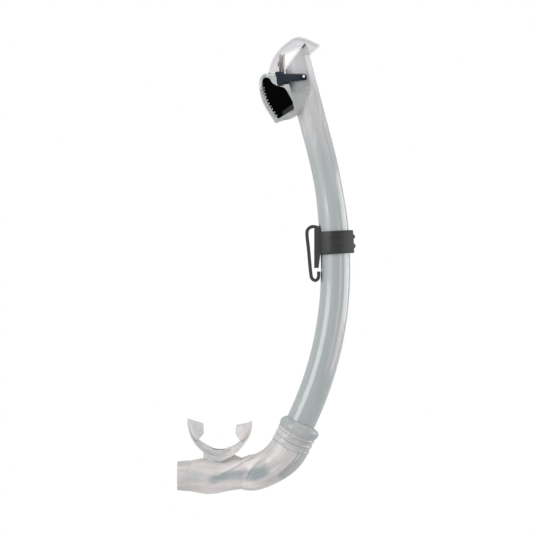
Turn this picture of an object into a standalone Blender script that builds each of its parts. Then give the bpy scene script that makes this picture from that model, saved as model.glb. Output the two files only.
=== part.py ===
"""Dry-top snorkel tube: curved tube, float valve under a clear hood, strap keeper, silicone lower end.

+Z up, the whole tube lies in the plane Y=0, the mouthpiece is on the -X side. Lengths below are in
millimetres and become metres as the meshes are made. The origin is the middle of the keeper's slot.
"""

import math

import bmesh
import bpy
from mathutils import Matrix, Vector

MM = 0.001
ROUND = 32  # facets round the tube

# main tube: a straight top, an upper arc and a lower arc that meet at the apex, a straight end
APEX = (22.6, -15.0)
R_UPPER = 456.0
R_LOWER = 329.0
LEAN = 14.8  # degrees the top leans
CUFF_ANGLE = 26.0  # degrees along the lower arc where the straight end starts
TUBE_R_TOP = 12.8
TUBE_R_LOW = 13.85
TUBE_WALL = 1.6
TUBE_END = 19.0  # length of the straight lower end

# valve: the seat plane is tilted so that the lever closes on it after CLOSE_DEG
LEVER_PIVOT = (-7.5, 165.9)
SEAT_DISTANCE = 18.0
CLOSE_DEG = 36.87
FLOAT_PIVOT = (-18.0, 134.9)
FLOAT_DEG = 15.5
PIN_R = 1.2
FLOAT_PIN_R = 1.0

# top housings
HALF = 17.0  # half depth of hood and chamber
HOOD_WALL = 1.4
CHAMBER_WALL = 1.6

# lower end
CUFF_START = -1.0
CUFF_LENGTH = 24.0
ELBOW_END = (-65.8, -206.3)
PURGE_Z = -208.5
END_X = -126.0
MOUTH = (-85.5, -155.6)  # centre of the flange's arc
FLANGE_R = 27.0
FLANGE_T = 2.4


# ---------------------------------------------------------------- plane geometry


def unit(deg):
    """Direction in the XZ plane, measured from +X towards +Z."""
    return Vector((math.cos(math.radians(deg)), math.sin(math.radians(deg))))


def arc(centre, radius, start, stop, count):
    """Points on an arc in the XZ plane, in degrees."""
    out = []
    for i in range(count):
        a = start + (stop - start) * i / (count - 1)
        out.append(Vector(centre) + radius * unit(a))
    return out


def inset(poly, d):
    """The outline moved inwards by d. The outline runs clockwise or the other way round."""
    pts = [Vector(p) for p in poly]
    n = len(pts)
    area = sum(pts[i].x * pts[(i + 1) % n].y - pts[(i + 1) % n].x * pts[i].y for i in range(n))
    side = 1.0 if area > 0 else -1.0
    out = []
    for i in range(n):
        before = (pts[i] - pts[i - 1]).normalized()
        after = (pts[(i + 1) % n] - pts[i]).normalized()
        n1 = side * Vector((-before.y, before.x))
        n2 = side * Vector((-after.y, after.x))
        mid = (n1 + n2).normalized()
        out.append(pts[i] + mid * (d / max(mid.dot(n1), 0.35)))
    return out


def ribbon(points, half):
    """Closed outline of a strip of even thickness round a centre line."""
    pts = [Vector(p) for p in points]
    left = []
    right = []
    for i, p in enumerate(pts):
        step = (pts[min(i + 1, len(pts) - 1)] - pts[max(i - 1, 0)]).normalized()
        normal = Vector((-step.y, step.x))
        left.append(p + half * normal)
        right.append(p - half * normal)
    return left + right[::-1]


def turned(points, pivot, deg):
    """Points turned about a pivot, clockwise as seen from the front."""
    c = math.cos(math.radians(deg))
    s = math.sin(math.radians(deg))
    out = []
    for p in points:
        x = p[0] - pivot[0]
        z = p[1] - pivot[1]
        out.append(Vector((pivot[0] + c * x + s * z, pivot[1] - s * x + c * z)))
    return out


# ---------------------------------------------------------------- meshes


def make(name, verts, faces, smooth=False):
    """An object from millimetre vertices, with its faces turned outwards."""
    mesh = bpy.data.meshes.new(name)
    mesh.from_pydata([Vector(v) * MM for v in verts], [], faces)
    bm = bmesh.new()
    bm.from_mesh(mesh)
    bmesh.ops.recalc_face_normals(bm, faces=bm.faces)
    for face in bm.faces:
        face.smooth = smooth
    bm.to_mesh(mesh)
    bm.free()
    obj = bpy.data.objects.new(name, mesh)
    bpy.context.scene.collection.objects.link(obj)
    return obj


def loops(rings, closed):
    """Faces between rings of equal count; a closed stack joins its last ring to its first."""
    n = len(rings[0])
    verts = [v for ring in rings for v in ring]
    faces = []
    last = len(rings) if closed else len(rings) - 1
    for i in range(last):
        a = i * n
        b = ((i + 1) % len(rings)) * n
        for j in range(n):
            k = (j + 1) % n
            faces.append((a + j, a + k, b + k, b + j))
    if not closed:
        faces.append(tuple(range(n)))
        faces.append(tuple((len(rings) - 1) * n + j for j in range(n)))
    return verts, faces


def plate(name, poly, y0, y1):
    """An outline in the XZ plane drawn out along Y."""
    rings = [[(p[0], y, p[1]) for p in poly] for y in (y0, y1)]
    verts, faces = loops(rings, False)
    return make(name, verts, faces)


def pillow(name, poly, half, edge):
    """An outline drawn out to both sides of the plane Y=0, with rounded edges."""
    rings = []
    for side in (-1, 1):
        for a in (0, 30, 60, 90)[::side]:
            y = side * (half - edge + edge * math.sin(math.radians(a)))
            grown = inset(poly, edge * (1 - math.cos(math.radians(a))))
            rings.append([(p.x, y, p.y) for p in grown])
    verts, faces = loops(rings, False)
    return make(name, verts, faces)


def ring_at(centre, tangent, radius, squash=1.0, count=ROUND):
    """A circle across a path in the XZ plane."""
    normal = Vector((-tangent.y, tangent.x))
    out = []
    for j in range(count):
        a = 2 * math.pi * (j + 0.5) / count
        off = normal * (radius * math.cos(a))
        out.append((centre.x + off.x, squash * radius * math.sin(a), centre.y + off.y))
    return out


def tangents(path):
    """Unit tangents of a path of points."""
    out = []
    for i in range(len(path)):
        out.append((path[min(i + 1, len(path) - 1)] - path[max(i - 1, 0)]).normalized())
    return out


def hollow(name, path, outer, inner, tans=None):
    """A pipe along a path, with outer and inner radii at each point."""
    tans = tans or tangents(path)
    rings = [ring_at(p, t, r) for p, t, r in zip(path, tans, outer)]
    rings += [ring_at(p, t, r) for p, t, r in list(zip(path, tans, inner))[::-1]]
    verts, faces = loops(rings, True)
    return make(name, verts, faces, True)


def solid(name, path, radii, tans=None, squash=1.0, count=ROUND):
    """A closed rod along a path."""
    tans = tans or tangents(path)
    rings = [ring_at(p, t, r, squash, count) for p, t, r in zip(path, tans, radii)]
    verts, faces = loops(rings, False)
    return make(name, verts, faces, True)


def turned_ring(name, start, along, profile, count=ROUND):
    """A closed profile of (distance along the axis, radius) turned about an axis in the XZ plane."""
    start = Vector(start)
    rings = []
    for s, r in profile:
        rings.append(ring_at(start + along * s, along, r, 1.0, count))
    verts, faces = loops(rings, True)
    return make(name, verts, faces, True)


def peg(name, x, z, radius, y0, y1, count=16):
    """A round pin along Y."""
    poly = [Vector((x, z)) + radius * unit(360.0 * (i + 0.5) / count) for i in range(count)]
    return plate(name, poly, y0, y1)


def oval(name, centre, half_x, half_y, z0, z1, grow=1.0, count=ROUND):
    """An upright oval post, its top scaled by grow."""
    rings = []
    for z, k in ((z0, 1.0), (z1, grow)):
        ring = []
        for j in range(count):
            a = 2 * math.pi * (j + 0.5) / count
            ring.append((centre + k * half_x * math.cos(a), k * half_y * math.sin(a), z))
        rings.append(ring)
    verts, faces = loops(rings, False)
    return make(name, verts, faces, True)


def combine(target, tool, how):
    """Exact boolean, applied; the tool is removed."""
    tool.hide_render = True
    tool.display_type = "WIRE"
    mod = target.modifiers.new(how.lower(), "BOOLEAN")
    mod.operation = how
    mod.solver = "EXACT"
    mod.object = tool
    graph = bpy.context.evaluated_depsgraph_get()
    graph.update()
    done = bpy.data.meshes.new_from_object(target.evaluated_get(graph))
    target.modifiers.clear()
    old = target.data
    target.data = done
    bpy.data.meshes.remove(old)
    bpy.data.objects.remove(tool)
    return target


def cut(target, *tools):
    """Takes the tools out of the target."""
    for tool in tools:
        combine(target, tool, "DIFFERENCE")
    return target


def join(target, *tools):
    """Adds the tools to the target."""
    for tool in tools:
        combine(target, tool, "UNION")
    return target


def material(obj, name, colour, rough, metal=0.0):
    """One Principled material on the whole object."""
    mat = bpy.data.materials.new(name)
    mat.use_nodes = True
    mat.diffuse_color = (*colour, 1)
    shader = mat.node_tree.nodes["Principled BSDF"]
    shader.inputs["Base Color"].default_value = (*colour, 1)
    shader.inputs["Roughness"].default_value = rough
    shader.inputs["Metallic"].default_value = metal
    obj.data.materials.clear()
    obj.data.materials.append(mat)
    obj.data.name = obj.name
    return obj


# ---------------------------------------------------------------- frames of the tube

TOP_AXIS = unit(90 + LEAN)
TOP_SIDE = Vector((TOP_AXIS.y, -TOP_AXIS.x))
UPPER_CENTRE = Vector((APEX[0] - R_UPPER, APEX[1]))
LOWER_CENTRE = Vector((APEX[0] - R_LOWER, APEX[1]))
TOP_START = UPPER_CENTRE + R_UPPER * unit(LEAN)
END_START = LOWER_CENTRE + R_LOWER * unit(-CUFF_ANGLE)
END_AXIS = unit(-90 - CUFF_ANGLE)
SEAT_NORMAL = unit(180 - CLOSE_DEG)
SEAT_ALONG = unit(90 - CLOSE_DEG)
SEAT_FOOT = Vector(LEVER_PIVOT) + SEAT_DISTANCE * SEAT_NORMAL


def on_top(along, across):
    """A point by its distance up the straight top and across it, towards the back."""
    return TOP_START + along * TOP_AXIS + across * TOP_SIDE


def on_seat(along, out):
    """A point by its distance up the seat plane and out of it."""
    return SEAT_FOOT + along * SEAT_ALONG + out * SEAT_NORMAL


def tube_path():
    """Centre line, top to bottom, with tangents and outer radii."""
    pts = []
    tans = []
    radii = []
    for s in (104.0, 60.0, 20.0):
        pts.append(on_top(s, 0))
        tans.append(-TOP_AXIS)
        radii.append(TUBE_R_TOP)
    for a in (LEAN, 12.6, 10.4, 8.4, 6.4, 5.0, 3.2, 1.6, 0.0):
        pts.append(UPPER_CENTRE + R_UPPER * unit(a))
        tans.append(unit(a - 90))
        grow = min(max((10.4 - a) / 5.4, 0.0), 1.0)
        radii.append(TUBE_R_TOP + grow * (TUBE_R_LOW - TUBE_R_TOP))
    for i in range(1, 10):
        a = CUFF_ANGLE * i / 9
        pts.append(LOWER_CENTRE + R_LOWER * unit(-a))
        tans.append(unit(-90 - a))
        radii.append(TUBE_R_LOW)
    pts.append(END_START + END_AXIS * TUBE_END)
    tans.append(END_AXIS)
    radii.append(TUBE_R_LOW)
    return pts, tans, radii


def tube_core(name, gap, low, high):
    """A plain rod as wide as the straight top and a gap, for clearing the housings."""
    path = [on_top(low, 0), on_top(high, 0)]
    return solid(name, path, [TUBE_R_TOP + gap] * 2, [TOP_AXIS] * 2)


# ---------------------------------------------------------------- tube and its fixed pieces


def main_tube():
    pts, tans, radii = tube_path()
    obj = hollow("main_tube", pts, radii, [r - TUBE_WALL for r in radii], tans)
    low = -1.55
    away = [on_seat(-30, low), on_seat(50, low), on_seat(50, 60), on_seat(-30, 60)]
    tip = [on_seat(26, -30), on_seat(60, -30), on_seat(60, 40), on_seat(26, 40)]
    cut(obj, plate("slant", away, -30, 30), plate("tip", tip, -30, 30))
    return material(obj, "tube_plastic", (0.62, 0.66, 0.66), 0.22)


def seat_outline(shrink, start, stop):
    """The tube's outline on its slanted end, between two distances up the plane."""
    middle = 11.0
    half = TUBE_R_TOP / TOP_AXIS.dot(SEAT_NORMAL) - shrink
    wide = TUBE_R_TOP - shrink
    pts = []
    for i in range(ROUND):
        a = 2 * math.pi * (i + 0.5) / ROUND
        along = middle + half * math.cos(a)
        pts.append((min(max(along, start), stop), wide * math.sin(a)))
    return pts


def on_plane(name, outline, low, high):
    """An outline in the seat plane, drawn out along its normal."""
    rings = []
    for out in (low, high):
        ring = []
        for along, y in outline:
            p = on_seat(along, out)
            ring.append((p.x, y, p.y))
        rings.append(ring)
    verts, faces = loops(rings, False)
    return make(name, verts, faces)


def ellipse(middle, half_along, half_y, count=28):
    """An ellipse in the seat plane."""
    out = []
    for i in range(count):
        a = 2 * math.pi * (i + 0.5) / count
        out.append((middle + half_along * math.cos(a), half_y * math.sin(a)))
    return out


def inlet_seat():
    obj = on_plane("inlet_seat", [
        (-5.0, -3.4), (-3.6, -6.6), (-0.6, -9.7), (3.6, -11.8), (8.0, -12.6), (13.0, -12.6),
        (17.0, -11.8), (20.5, -10.3), (20.5, 10.3), (17.0, 11.8), (13.0, 12.6), (8.0, 12.6),
        (3.6, 11.8), (-0.6, 9.7), (-3.6, 6.6), (-5.0, 3.4)], -1.45, -0.45)
    lip = on_plane("lip", ellipse(11.7, 8.2, 9.6), -0.9, 0.0)
    join(obj, lip)
    cut(obj, on_plane("mouth", ellipse(11.7, 6.9, 8.2), -5, 5))
    return material(obj, "seat_plastic", (0.70, 0.72, 0.73), 0.3)


def hood_outline():
    """The hood from the front lower corner over the roof to the beak and down the back."""
    front = [(-40.5, 169.75), (-38.8, 176.2), (-36.2, 182.4), (-33.4, 187.1), (-29.6, 191.8)]
    roof = [(-24.9, 196.2), (-20.2, 199.8), (-16.9, 201.8), (-13.6, 202.8), (-8.0, 202.1)]
    beak = [(-0.5, 199.3), (7.5, 195.3), (2.3, 191.2), (-2.6, 186.6)]
    back = [(-7.2, 185.6), (-2.95, 169.75)]
    return front + roof + beak + back


def hood():
    outline = hood_outline()
    obj = pillow("hood", outline, HALF, 2.4)
    inner = inset(outline, HOOD_WALL)
    inner[0] = Vector((inner[0].x, 160.0))
    inner[-1] = Vector((inner[-1].x, 160.0))
    room = pillow("room", inner, HALF - HOOD_WALL, 1.6)
    cut(obj, room)
    cut(obj, tube_core("bore", 0.3, 20, 84.5))
    rear = solid("rear", [on_top(60, 0), on_top(96.5, 0)], [TUBE_R_TOP + 0.3] * 2, [TOP_AXIS] * 2)
    keep = [on_top(50, 3), on_top(50, 20), on_top(98, 20), on_top(98, 3)]
    combine(rear, plate("half", keep, -30, 30), "INTERSECT")
    cut(obj, rear)
    window = [(-23.6, 175.4), (-24.2, 188.4), (-20.2, 190.5), (-15.5, 192.4), (-10.4, 193.6)]
    window.append(tuple(on_seat(19.2, 0.9)))
    window.append(tuple(on_seat(-1.0, 0.9)))
    cut(obj, plate("window", window, -30, 30))
    key = [on_seat(20.75, -1.5), on_seat(25.25, -1.5), on_seat(25.25, -0.1), on_seat(20.75, -0.1)]
    cut(obj, plate("slot", key, -30, 30))
    return material(obj, "clear_hood", (0.80, 0.80, 0.82), 0.12)


def hood_lock_key():
    section = [on_seat(20.9, -1.35), on_seat(25.1, -1.35), on_seat(25.1, -0.25), on_seat(20.9, -0.25)]
    obj = plate("hood_lock_key", section, -HALF - 0.2, HALF + 0.2)
    return material(obj, "key_plastic", (0.05, 0.07, 0.10), 0.4)


def chamber_outline():
    """The chamber from its front top corner down the ribbed front, along the bottom and up the back."""
    front = [(-40.5, 169.35), (-45.6, 167.8), (-47.5, 165.4), (-48.9, 162.9), (-49.2, 158.9)]
    side = [(-48.9, 154.2), (-47.9, 149.5), (-46.5, 144.4), (-43.2, 137.7), (-39.0, 131.1)]
    bottom = [(-33.9, 123.4), (-26.8, 126.0), (-18.3, 128.0), (-11.8, 131.4)]
    back = [(-7.2, 141.0), (-0.6, 155.0), (-2.85, 169.35)]
    return front + side + bottom + back


def float_window():
    """The opening in each side wall, just inside the edge of the float at rest."""
    top = [(-45.6, 156.2), (-45.5, 162.4), (-44.5, 164.2), (-43.0, 164.7), (-40.0, 164.1)]
    right = [(-38.8, 162.3), (-37.4, 160.1), (-35.0, 158.2), (-32.2, 157.0), (-25.6, 154.9)]
    low = [(-23.3, 151.8), (-20.6, 147.0), (-16.9, 140.4), (-18.6, 137.6), (-26.6, 130.3)]
    left = [(-30.8, 127.8), (-33.3, 130.0), (-36.8, 134.8), (-40.5, 142.2), (-43.7, 148.8)]
    return top + right + low + left


def float_chamber():
    outline = chamber_outline()
    obj = pillow("float_chamber", outline, HALF, 2.4)
    inner = inset(outline, CHAMBER_WALL)
    inner[0] = Vector((inner[0].x, 180.0))
    inner[-1] = Vector((inner[-1].x, 180.0))
    cut(obj, pillow("room", inner, HALF - CHAMBER_WALL, 1.0))
    cut(obj, tube_core("bore", 0.3, 0, 84))
    cut(obj, plate("window", float_window(), -30, 30))
    cut(obj, peg("eye", *LEVER_PIVOT, PIN_R + 0.1, -30, 30))
    cut(obj, peg("eye", *FLOAT_PIVOT, FLOAT_PIN_R + 0.1, -30, 30, 12))
    for y in (-7.5, 0.0, 7.5):
        drain = [(-34.5, 121.0), (-20.5, 124.6), (-21.5, 129.6), (-35.0, 126.0)]
        cut(obj, plate("drain", drain, y - 2.2, y + 2.2))
    return material(obj, "clear_housing", (0.78, 0.80, 0.80), 0.15)


def float_pivot_pin():
    obj = peg("float_pivot_pin", *FLOAT_PIVOT, FLOAT_PIN_R, -HALF, HALF, 12)
    return material(obj, "pin_steel", (0.62, 0.60, 0.56), 0.25, 1.0)


def lever_pin(name, side):
    ends = sorted((side * 13.3, side * (HALF + 0.1)))
    obj = peg(name, *LEVER_PIVOT, PIN_R, ends[0], ends[1])
    return material(obj, name + "_plastic", (0.90, 0.90, 0.90), 0.3)


def swivel_collar():
    profile = [(0.8, 14.05), (0.8, 15.5), (2.4, 16.35), (5.0, 16.35), (6.0, 15.7), (11.8, 15.7)]
    profile += [(11.9, 14.7), (14.1, 14.7), (14.2, 15.7), (20.0, 15.7), (20.0, 14.05)]
    obj = turned_ring("swivel_collar", END_START, END_AXIS, profile)
    return material(obj, "collar_plastic", (0.66, 0.70, 0.70), 0.3)


def swivel_o_ring():
    profile = []
    for i in range(8):
        a = 2 * math.pi * i / 8
        profile.append((13.0 + 0.5 * math.cos(a), 15.32 + 0.5 * math.sin(a)))
    obj = turned_ring("swivel_o_ring", END_START, END_AXIS, profile)
    return material(obj, "o_ring_rubber", (0.03, 0.03, 0.03), 0.6)


# ---------------------------------------------------------------- valve


def float_outline():
    """The float's outline without its hinge corner."""
    left = [(-44.9, 150.6), (-46.3, 156.1), (-46.4, 159.8), (-45.9, 162.6), (-44.7, 164.6)]
    top = [(-43.0, 165.1), (-39.7, 164.6), (-38.5, 162.6), (-37.1, 160.4), (-34.8, 158.6)]
    right = [(-32.1, 157.4), (-25.4, 155.3), (-22.9, 152.0), (-20.2, 147.1), (-17.2, 141.2)]
    low = [(-28.4, 133.5), (-27.1, 129.5), (-30.8, 127.3), (-33.4, 129.3), (-37.1, 134.4)]
    return left + top + right + low + [(-40.9, 141.9)]


def clear_tube(obj):
    """Hollows a swinging piece so that it passes the tube through its whole swing."""
    for deg in (0.0, 5.0, 10.0, FLOAT_DEG):
        path = turned([on_top(-10, 0), on_top(80, 0)], FLOAT_PIVOT, -deg)
        tan = (path[1] - path[0]).normalized()
        cut(obj, solid("clear", path, [TUBE_R_TOP + 0.45] * 2, [tan] * 2))
    return obj


def float_body():
    obj = pillow("float_body", float_outline(), 14.6, 1.2)
    clear_tube(obj)
    return material(obj, "float_black", (0.004, 0.004, 0.004), 0.5)


def float_arm():
    outline = [(-28.2, 133.2), (-17.7, 140.4), (-15.9, 136.6), (-15.75, 134.4), (-17.0, 132.8)]
    outline += [(-19.5, 132.7), (-26.9, 129.3)]
    obj = plate("float_arm", outline, -12.0, 12.0)
    clear_tube(obj)
    cut(obj, peg("bore", *FLOAT_PIVOT, FLOAT_PIN_R + 0.08, -30, 30, 12))
    return material(obj, "arm_plastic", (0.09, 0.08, 0.08), 0.45)


def valve_lever():
    head = [(-34.3, 170.1), (-28.6, 171.0), (-26.7, 168.9), (-26.0, 168.4), (-26.0, 159.6)]
    head += [(-26.9, 158.9), (-31.2, 158.9), (-32.6, 161.2), (-32.9, 166.5)]
    obj = plate("valve_lever", head, -15.1, 15.1)
    arm = [(-27.5, 168.5), (-6.2, 167.9), (-4.9, 167.2), (-4.7, 163.6), (-5.7, 163.0), (-27.5, 160.6)]
    for side in (-1, 1):
        ends = sorted((side * 13.2, side * 15.1))
        join(obj, plate("arm", arm, ends[0], ends[1]))
    tongue = [(-30.7, 187.0), (-28.7, 187.0), (-28.7, 168.0), (-30.7, 168.0)]
    join(obj, plate("tongue", tongue, -8.5, 8.5))
    cut(obj, peg("bore", *LEVER_PIVOT, PIN_R + 0.08, -30, 30))
    hole = [Vector((-32.0, 178.5)), Vector((-27.0, 178.5))]
    cut(obj, solid("hole", hole, [1.9, 1.9], [unit(0)] * 2, 1.0, 16))
    return material(obj, "lever_plastic", (0.03, 0.05, 0.08), 0.4)


def seal_pad():
    """Seal with a domed back, its stem and its button, turned about an axis across the tongue."""
    face = LEVER_PIVOT[0] - SEAT_DISTANCE - 0.06
    profile = [(0.0, 0.05), (0.0, 9.2), (-0.4, 9.45), (-0.8, 9.2), (-1.8, 6.6), (-2.5, 3.9)]
    profile += [(-2.8, 1.7), (-5.35, 1.7), (-5.45, 2.8), (-5.95, 2.9), (-6.65, 1.6), (-6.85, 0.05)]
    path = [Vector((face + s, 178.5)) for s, _ in profile]
    obj = solid("seal_pad", path, [r for _, r in profile], [unit(0)] * len(path), 1.0, 28)
    return material(obj, "seal_silicone", (0.60, 0.50, 0.36), 0.55)


# ---------------------------------------------------------------- keeper


def keeper():
    """Band round the tube, in line with it, a square back with two studs, and the strap hook."""
    deg = 3.24
    mid = UPPER_CENTRE + R_UPPER * unit(deg)
    up = unit(90 + deg)
    out = unit(deg)
    band = solid("keeper", [mid - 10.8 * up, mid + 10.8 * up], [16.3, 16.3], [up] * 2)
    back = [mid + 12 * out - 10.8 * up, mid + 17.6 * out - 10.8 * up]
    back += [mid + 17.6 * out + 10.8 * up, mid + 12 * out + 10.8 * up]
    join(band, plate("back", back, -8.5, 8.5))
    for along in (-4.2, 4.6):
        at = mid + 17.6 * out + along * up
        stud = solid("stud", [at - 1.0 * out, at + 1.0 * out, at + 1.8 * out], [2.0, 2.0, 1.1],
                     [out] * 3, 1.0, 12)
        join(band, stud)
    bar = [(2.6, -13.2), (6.6, -13.2), (8.2, -0.5), (10.5, 20.9), (7.0, 26.3), (4.0, 26.0), (2.6, 23.0)]
    join(band, plate("bar", bar, -7.0, 7.0))
    line = [(5.5, 24.9), (2.8, 25.6), (0.3, 25.6), (-2.2, 24.4), (-4.0, 22.0), (-4.3, 18.8)]
    line += [(-2.9, 5.0), (-0.4, -20.4), (0.2, -22.6), (1.8, -24.3), (4.0, -24.8)]
    line += [(5.7, -23.6), (6.6, -21.6), (6.75, -16.4)]
    join(band, plate("hook", ribbon(line, 1.5), -7.0, 7.0))
    bore = [UPPER_CENTRE + R_UPPER * unit(a) for a in (-0.4, 0.8, 2.0, 3.2, 4.4, 5.6, 7.0)]
    tans = [unit(90 + a) for a in (-0.4, 0.8, 2.0, 3.2, 4.4, 5.6, 7.0)]
    cut(band, solid("bore", bore, [TUBE_R_LOW + 0.4] * 7, tans))
    return material(band, "keeper_rubber", (0.05, 0.05, 0.05), 0.5)


# ---------------------------------------------------------------- silicone lower end


def elbow_line(count):
    """Centre line of the bend, from the end of the cuff to the purge chamber."""
    p0 = END_START + END_AXIS * CUFF_LENGTH
    p3 = Vector(ELBOW_END) + Vector((5.3, 0.0))
    p1 = p0 + 13.5 * END_AXIS
    p2 = p3 + Vector((15.0, 0.0))
    out = []
    for i in range(count):
        t = i / (count - 1)
        s = 1 - t
        out.append(s**3 * p0 + 3 * s * s * t * p1 + 3 * s * t * t * p2 + t**3 * p3)
    return out


def elbow():
    cuff = [(-1.0, 16.2, 14.3), (0.2, 17.5, 14.3), (0.5, 17.7, 16.1), (2.1, 18.1, 16.65)]
    cuff += [(5.4, 18.0, 16.65), (6.4, 17.6, 16.1), (8.8, 17.3, 16.1), (10.2, 17.8, 16.1)]
    cuff += [(11.6, 17.3, 16.1), (14.4, 17.3, 16.1), (15.8, 17.8, 16.1), (17.2, 17.3, 16.1)]
    cuff += [(20.3, 17.3, 16.1), (20.9, 17.5, 13.4), (22.0, 17.8, 13.4)]
    path = [END_START + END_AXIS * s for s, _, _ in cuff]
    outer = [r for _, r, _ in cuff]
    inner = [r for _, _, r in cuff]
    tans = [END_AXIS] * len(cuff)
    bend = elbow_line(11)
    shape = [17.3, 17.1, 16.9, 16.7, 16.5, 16.4, 16.4, 16.6, 16.8, 16.7, 15.9, 14.5]
    path += bend + [Vector(ELBOW_END)]
    outer += shape
    inner += [13.4, 13.6, 13.8, 13.8, 13.8, 13.8, 13.8, 13.6, 13.2, 12.8, 12.3, 12.3]
    tans += [END_AXIS] + tangents(bend)[1:-1] + [Vector((-1.0, 0.0))] * 2
    obj = hollow("elbow", path, outer, inner, tans)
    return material(obj, "elbow_silicone", (0.64, 0.62, 0.60), 0.3)


def chamber_connector():
    profile = [(0.0, 10.6), (0.0, 12.05), (16.0, 12.05), (16.0, 10.6)]
    obj = turned_ring("chamber_connector", (-60.8, ELBOW_END[1]), Vector((-1.0, 0.0)), profile)
    return material(obj, "connector_plastic", (0.72, 0.74, 0.74), 0.3)


def chamber_line():
    """Stations along the purge chamber: x, z, outer and inner radius."""
    return [(-66.1, -206.3, 14.5, 12.3), (-70.0, -206.3, 15.2, 12.3), (-76.0, -206.3, 16.0, 12.3),
            (-83.0, -207.0, 16.6, 12.9), (-88.0, -208.0, 17.0, 14.8), (-98.0, -208.5, 17.2, 15.0),
            (-104.0, -208.5, 16.4, 14.2), (-110.6, -208.5, 15.0, 12.8), (-113.4, -208.5, 14.6, 11.25),
            (END_X, PURGE_Z, 13.6, 11.25)]


def purge_solid(name, grow, inner):
    """The outside or the inside of the purge chamber as a solid."""
    rows = chamber_line()
    path = [Vector((x, z)) for x, z, _, _ in rows]
    if inner:
        path[0] = path[0] + Vector((3.0, 0.0))
        path[-1] = path[-1] - Vector((3.0, 0.0))
    radii = [(r_in if inner else r_out) + grow for _, _, r_out, r_in in rows]
    return solid(name, path, radii, [Vector((-1.0, 0.0))] * len(path))


def purge_chamber():
    obj = purge_solid("purge_chamber", 0.0, False)
    join(obj, oval("spigot", -87.0, 11.0, 8.6, -203.0, -186.8))
    cut(obj, purge_solid("room", 0.0, True))
    cut(obj, oval("throat", -87.0, 9.2, 6.8, -210.0, -180.0))
    return material(obj, "chamber_silicone", (0.65, 0.63, 0.61), 0.3)


def purge_seat():
    axis = Vector((1.0, 0.0))
    profile = [(0.0, 9.8), (0.0, 11.0), (11.2, 11.0), (11.2, 9.8)]
    obj = turned_ring("purge_seat", (END_X + 0.4, PURGE_Z), axis, profile)
    web = [Vector((END_X + 6.8, PURGE_Z)), Vector((END_X + 8.4, PURGE_Z))]
    disc = solid("web", web, [10.4, 10.4], [axis] * 2)
    for i in range(6):
        a = 2 * math.pi * (i + 0.5) / 6
        at = Vector((0.0, PURGE_Z + 5.5 * math.sin(a)))
        hole = solid("hole", [at + Vector((END_X, 0)), at + Vector((END_X + 20, 0))], [2.0, 2.0],
                     [axis] * 2, 1.0, 12)
        hole.data.transform(Matrix.Translation((0, 5.5 * math.cos(a) * MM, 0)))
        cut(disc, hole)
    middle = solid("middle", [web[0] - axis * 5, web[1] + axis * 5], [1.35, 1.35], [axis] * 2, 1.0, 16)
    cut(disc, middle)
    join(obj, disc)
    return material(obj, "purge_seat_plastic", (0.58, 0.60, 0.60), 0.35)


def purge_disc():
    """Mushroom valve: a thin cap outside the seat, a stem through it and a bulb inside."""
    rows = [(5.5, 0.3), (5.6, 6.0), (5.9, 8.8), (6.65, 8.8), (6.7, 1.2), (9.8, 1.2), (10.2, 1.9)]
    rows += [(11.6, 1.2), (12.6, 0.4)]
    path = [Vector((END_X + s, PURGE_Z)) for s, _ in rows]
    obj = solid("purge_disc", path, [r for _, r in rows], [Vector((1.0, 0.0))] * len(path), 1.0, 24)
    return material(obj, "purge_disc_silicone", (0.72, 0.70, 0.67), 0.4)


def purge_cap():
    axis = Vector((1.0, 0.0))
    path = [Vector((END_X + 0.5, PURGE_Z)), Vector((END_X + 2.0, PURGE_Z))]
    obj = solid("purge_cap", path, [9.6, 9.6], [axis] * 2)
    for i, reach in ((-2, 5.4), (-1, 7.2), (0, 7.8), (1, 7.2), (2, 5.4)):
        z = PURGE_Z + 3.2 * i
        slot = [(END_X - 5, z - 0.9), (END_X + 8, z - 0.9), (END_X + 8, z + 0.9), (END_X - 5, z + 0.9)]
        cut(obj, plate("slot", slot, -reach, reach))
    return material(obj, "purge_cap_plastic", (0.60, 0.62, 0.62), 0.35)


def flange():
    """The lip guard: a half ring in the XZ plane, high along Y, its edges bent down over the neck."""
    across = (-1.0, -0.94, -0.7, -0.35, 0.0, 0.35, 0.7, 0.94, 1.0)
    thickness = (0.35, 0.62, 0.8, 0.95, 1.0, 0.95, 0.8, 0.62, 0.35)
    inner = []
    outer = []
    for i in range(19):
        deg = -86 + 172 * i / 18
        end = abs(deg) / 86
        high = 15.0 - 8.0 * end**3
        droop = 0.8 + 9.2 * (1 - end) ** 2
        low_row = []
        top_row = []
        for k, thin in zip(across, thickness):
            base = FLANGE_R + droop * k * k
            direction = unit(-90 + deg)
            p = Vector(MOUTH) + (base + 0.5 * FLANGE_T * (1 - thin)) * direction
            q = Vector(MOUTH) + (base + 0.5 * FLANGE_T * (1 + thin)) * direction
            low_row.append((p.x, high * k, p.y))
            top_row.append((q.x, high * k, q.y))
        inner.append(low_row)
        outer.append(top_row)
    rings = [a + b[::-1] for a, b in zip(inner, outer)]
    verts, faces = loops(rings, False)
    return make("mouthpiece", verts, faces, True)


def bite_tab(outline, ridge):
    """A tab between the teeth and the ridge on both its faces."""
    tab = plate("tab", outline, -1.9, 1.9)
    join(tab, plate("ridge", ridge, -4.6, 4.6))
    return tab


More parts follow.
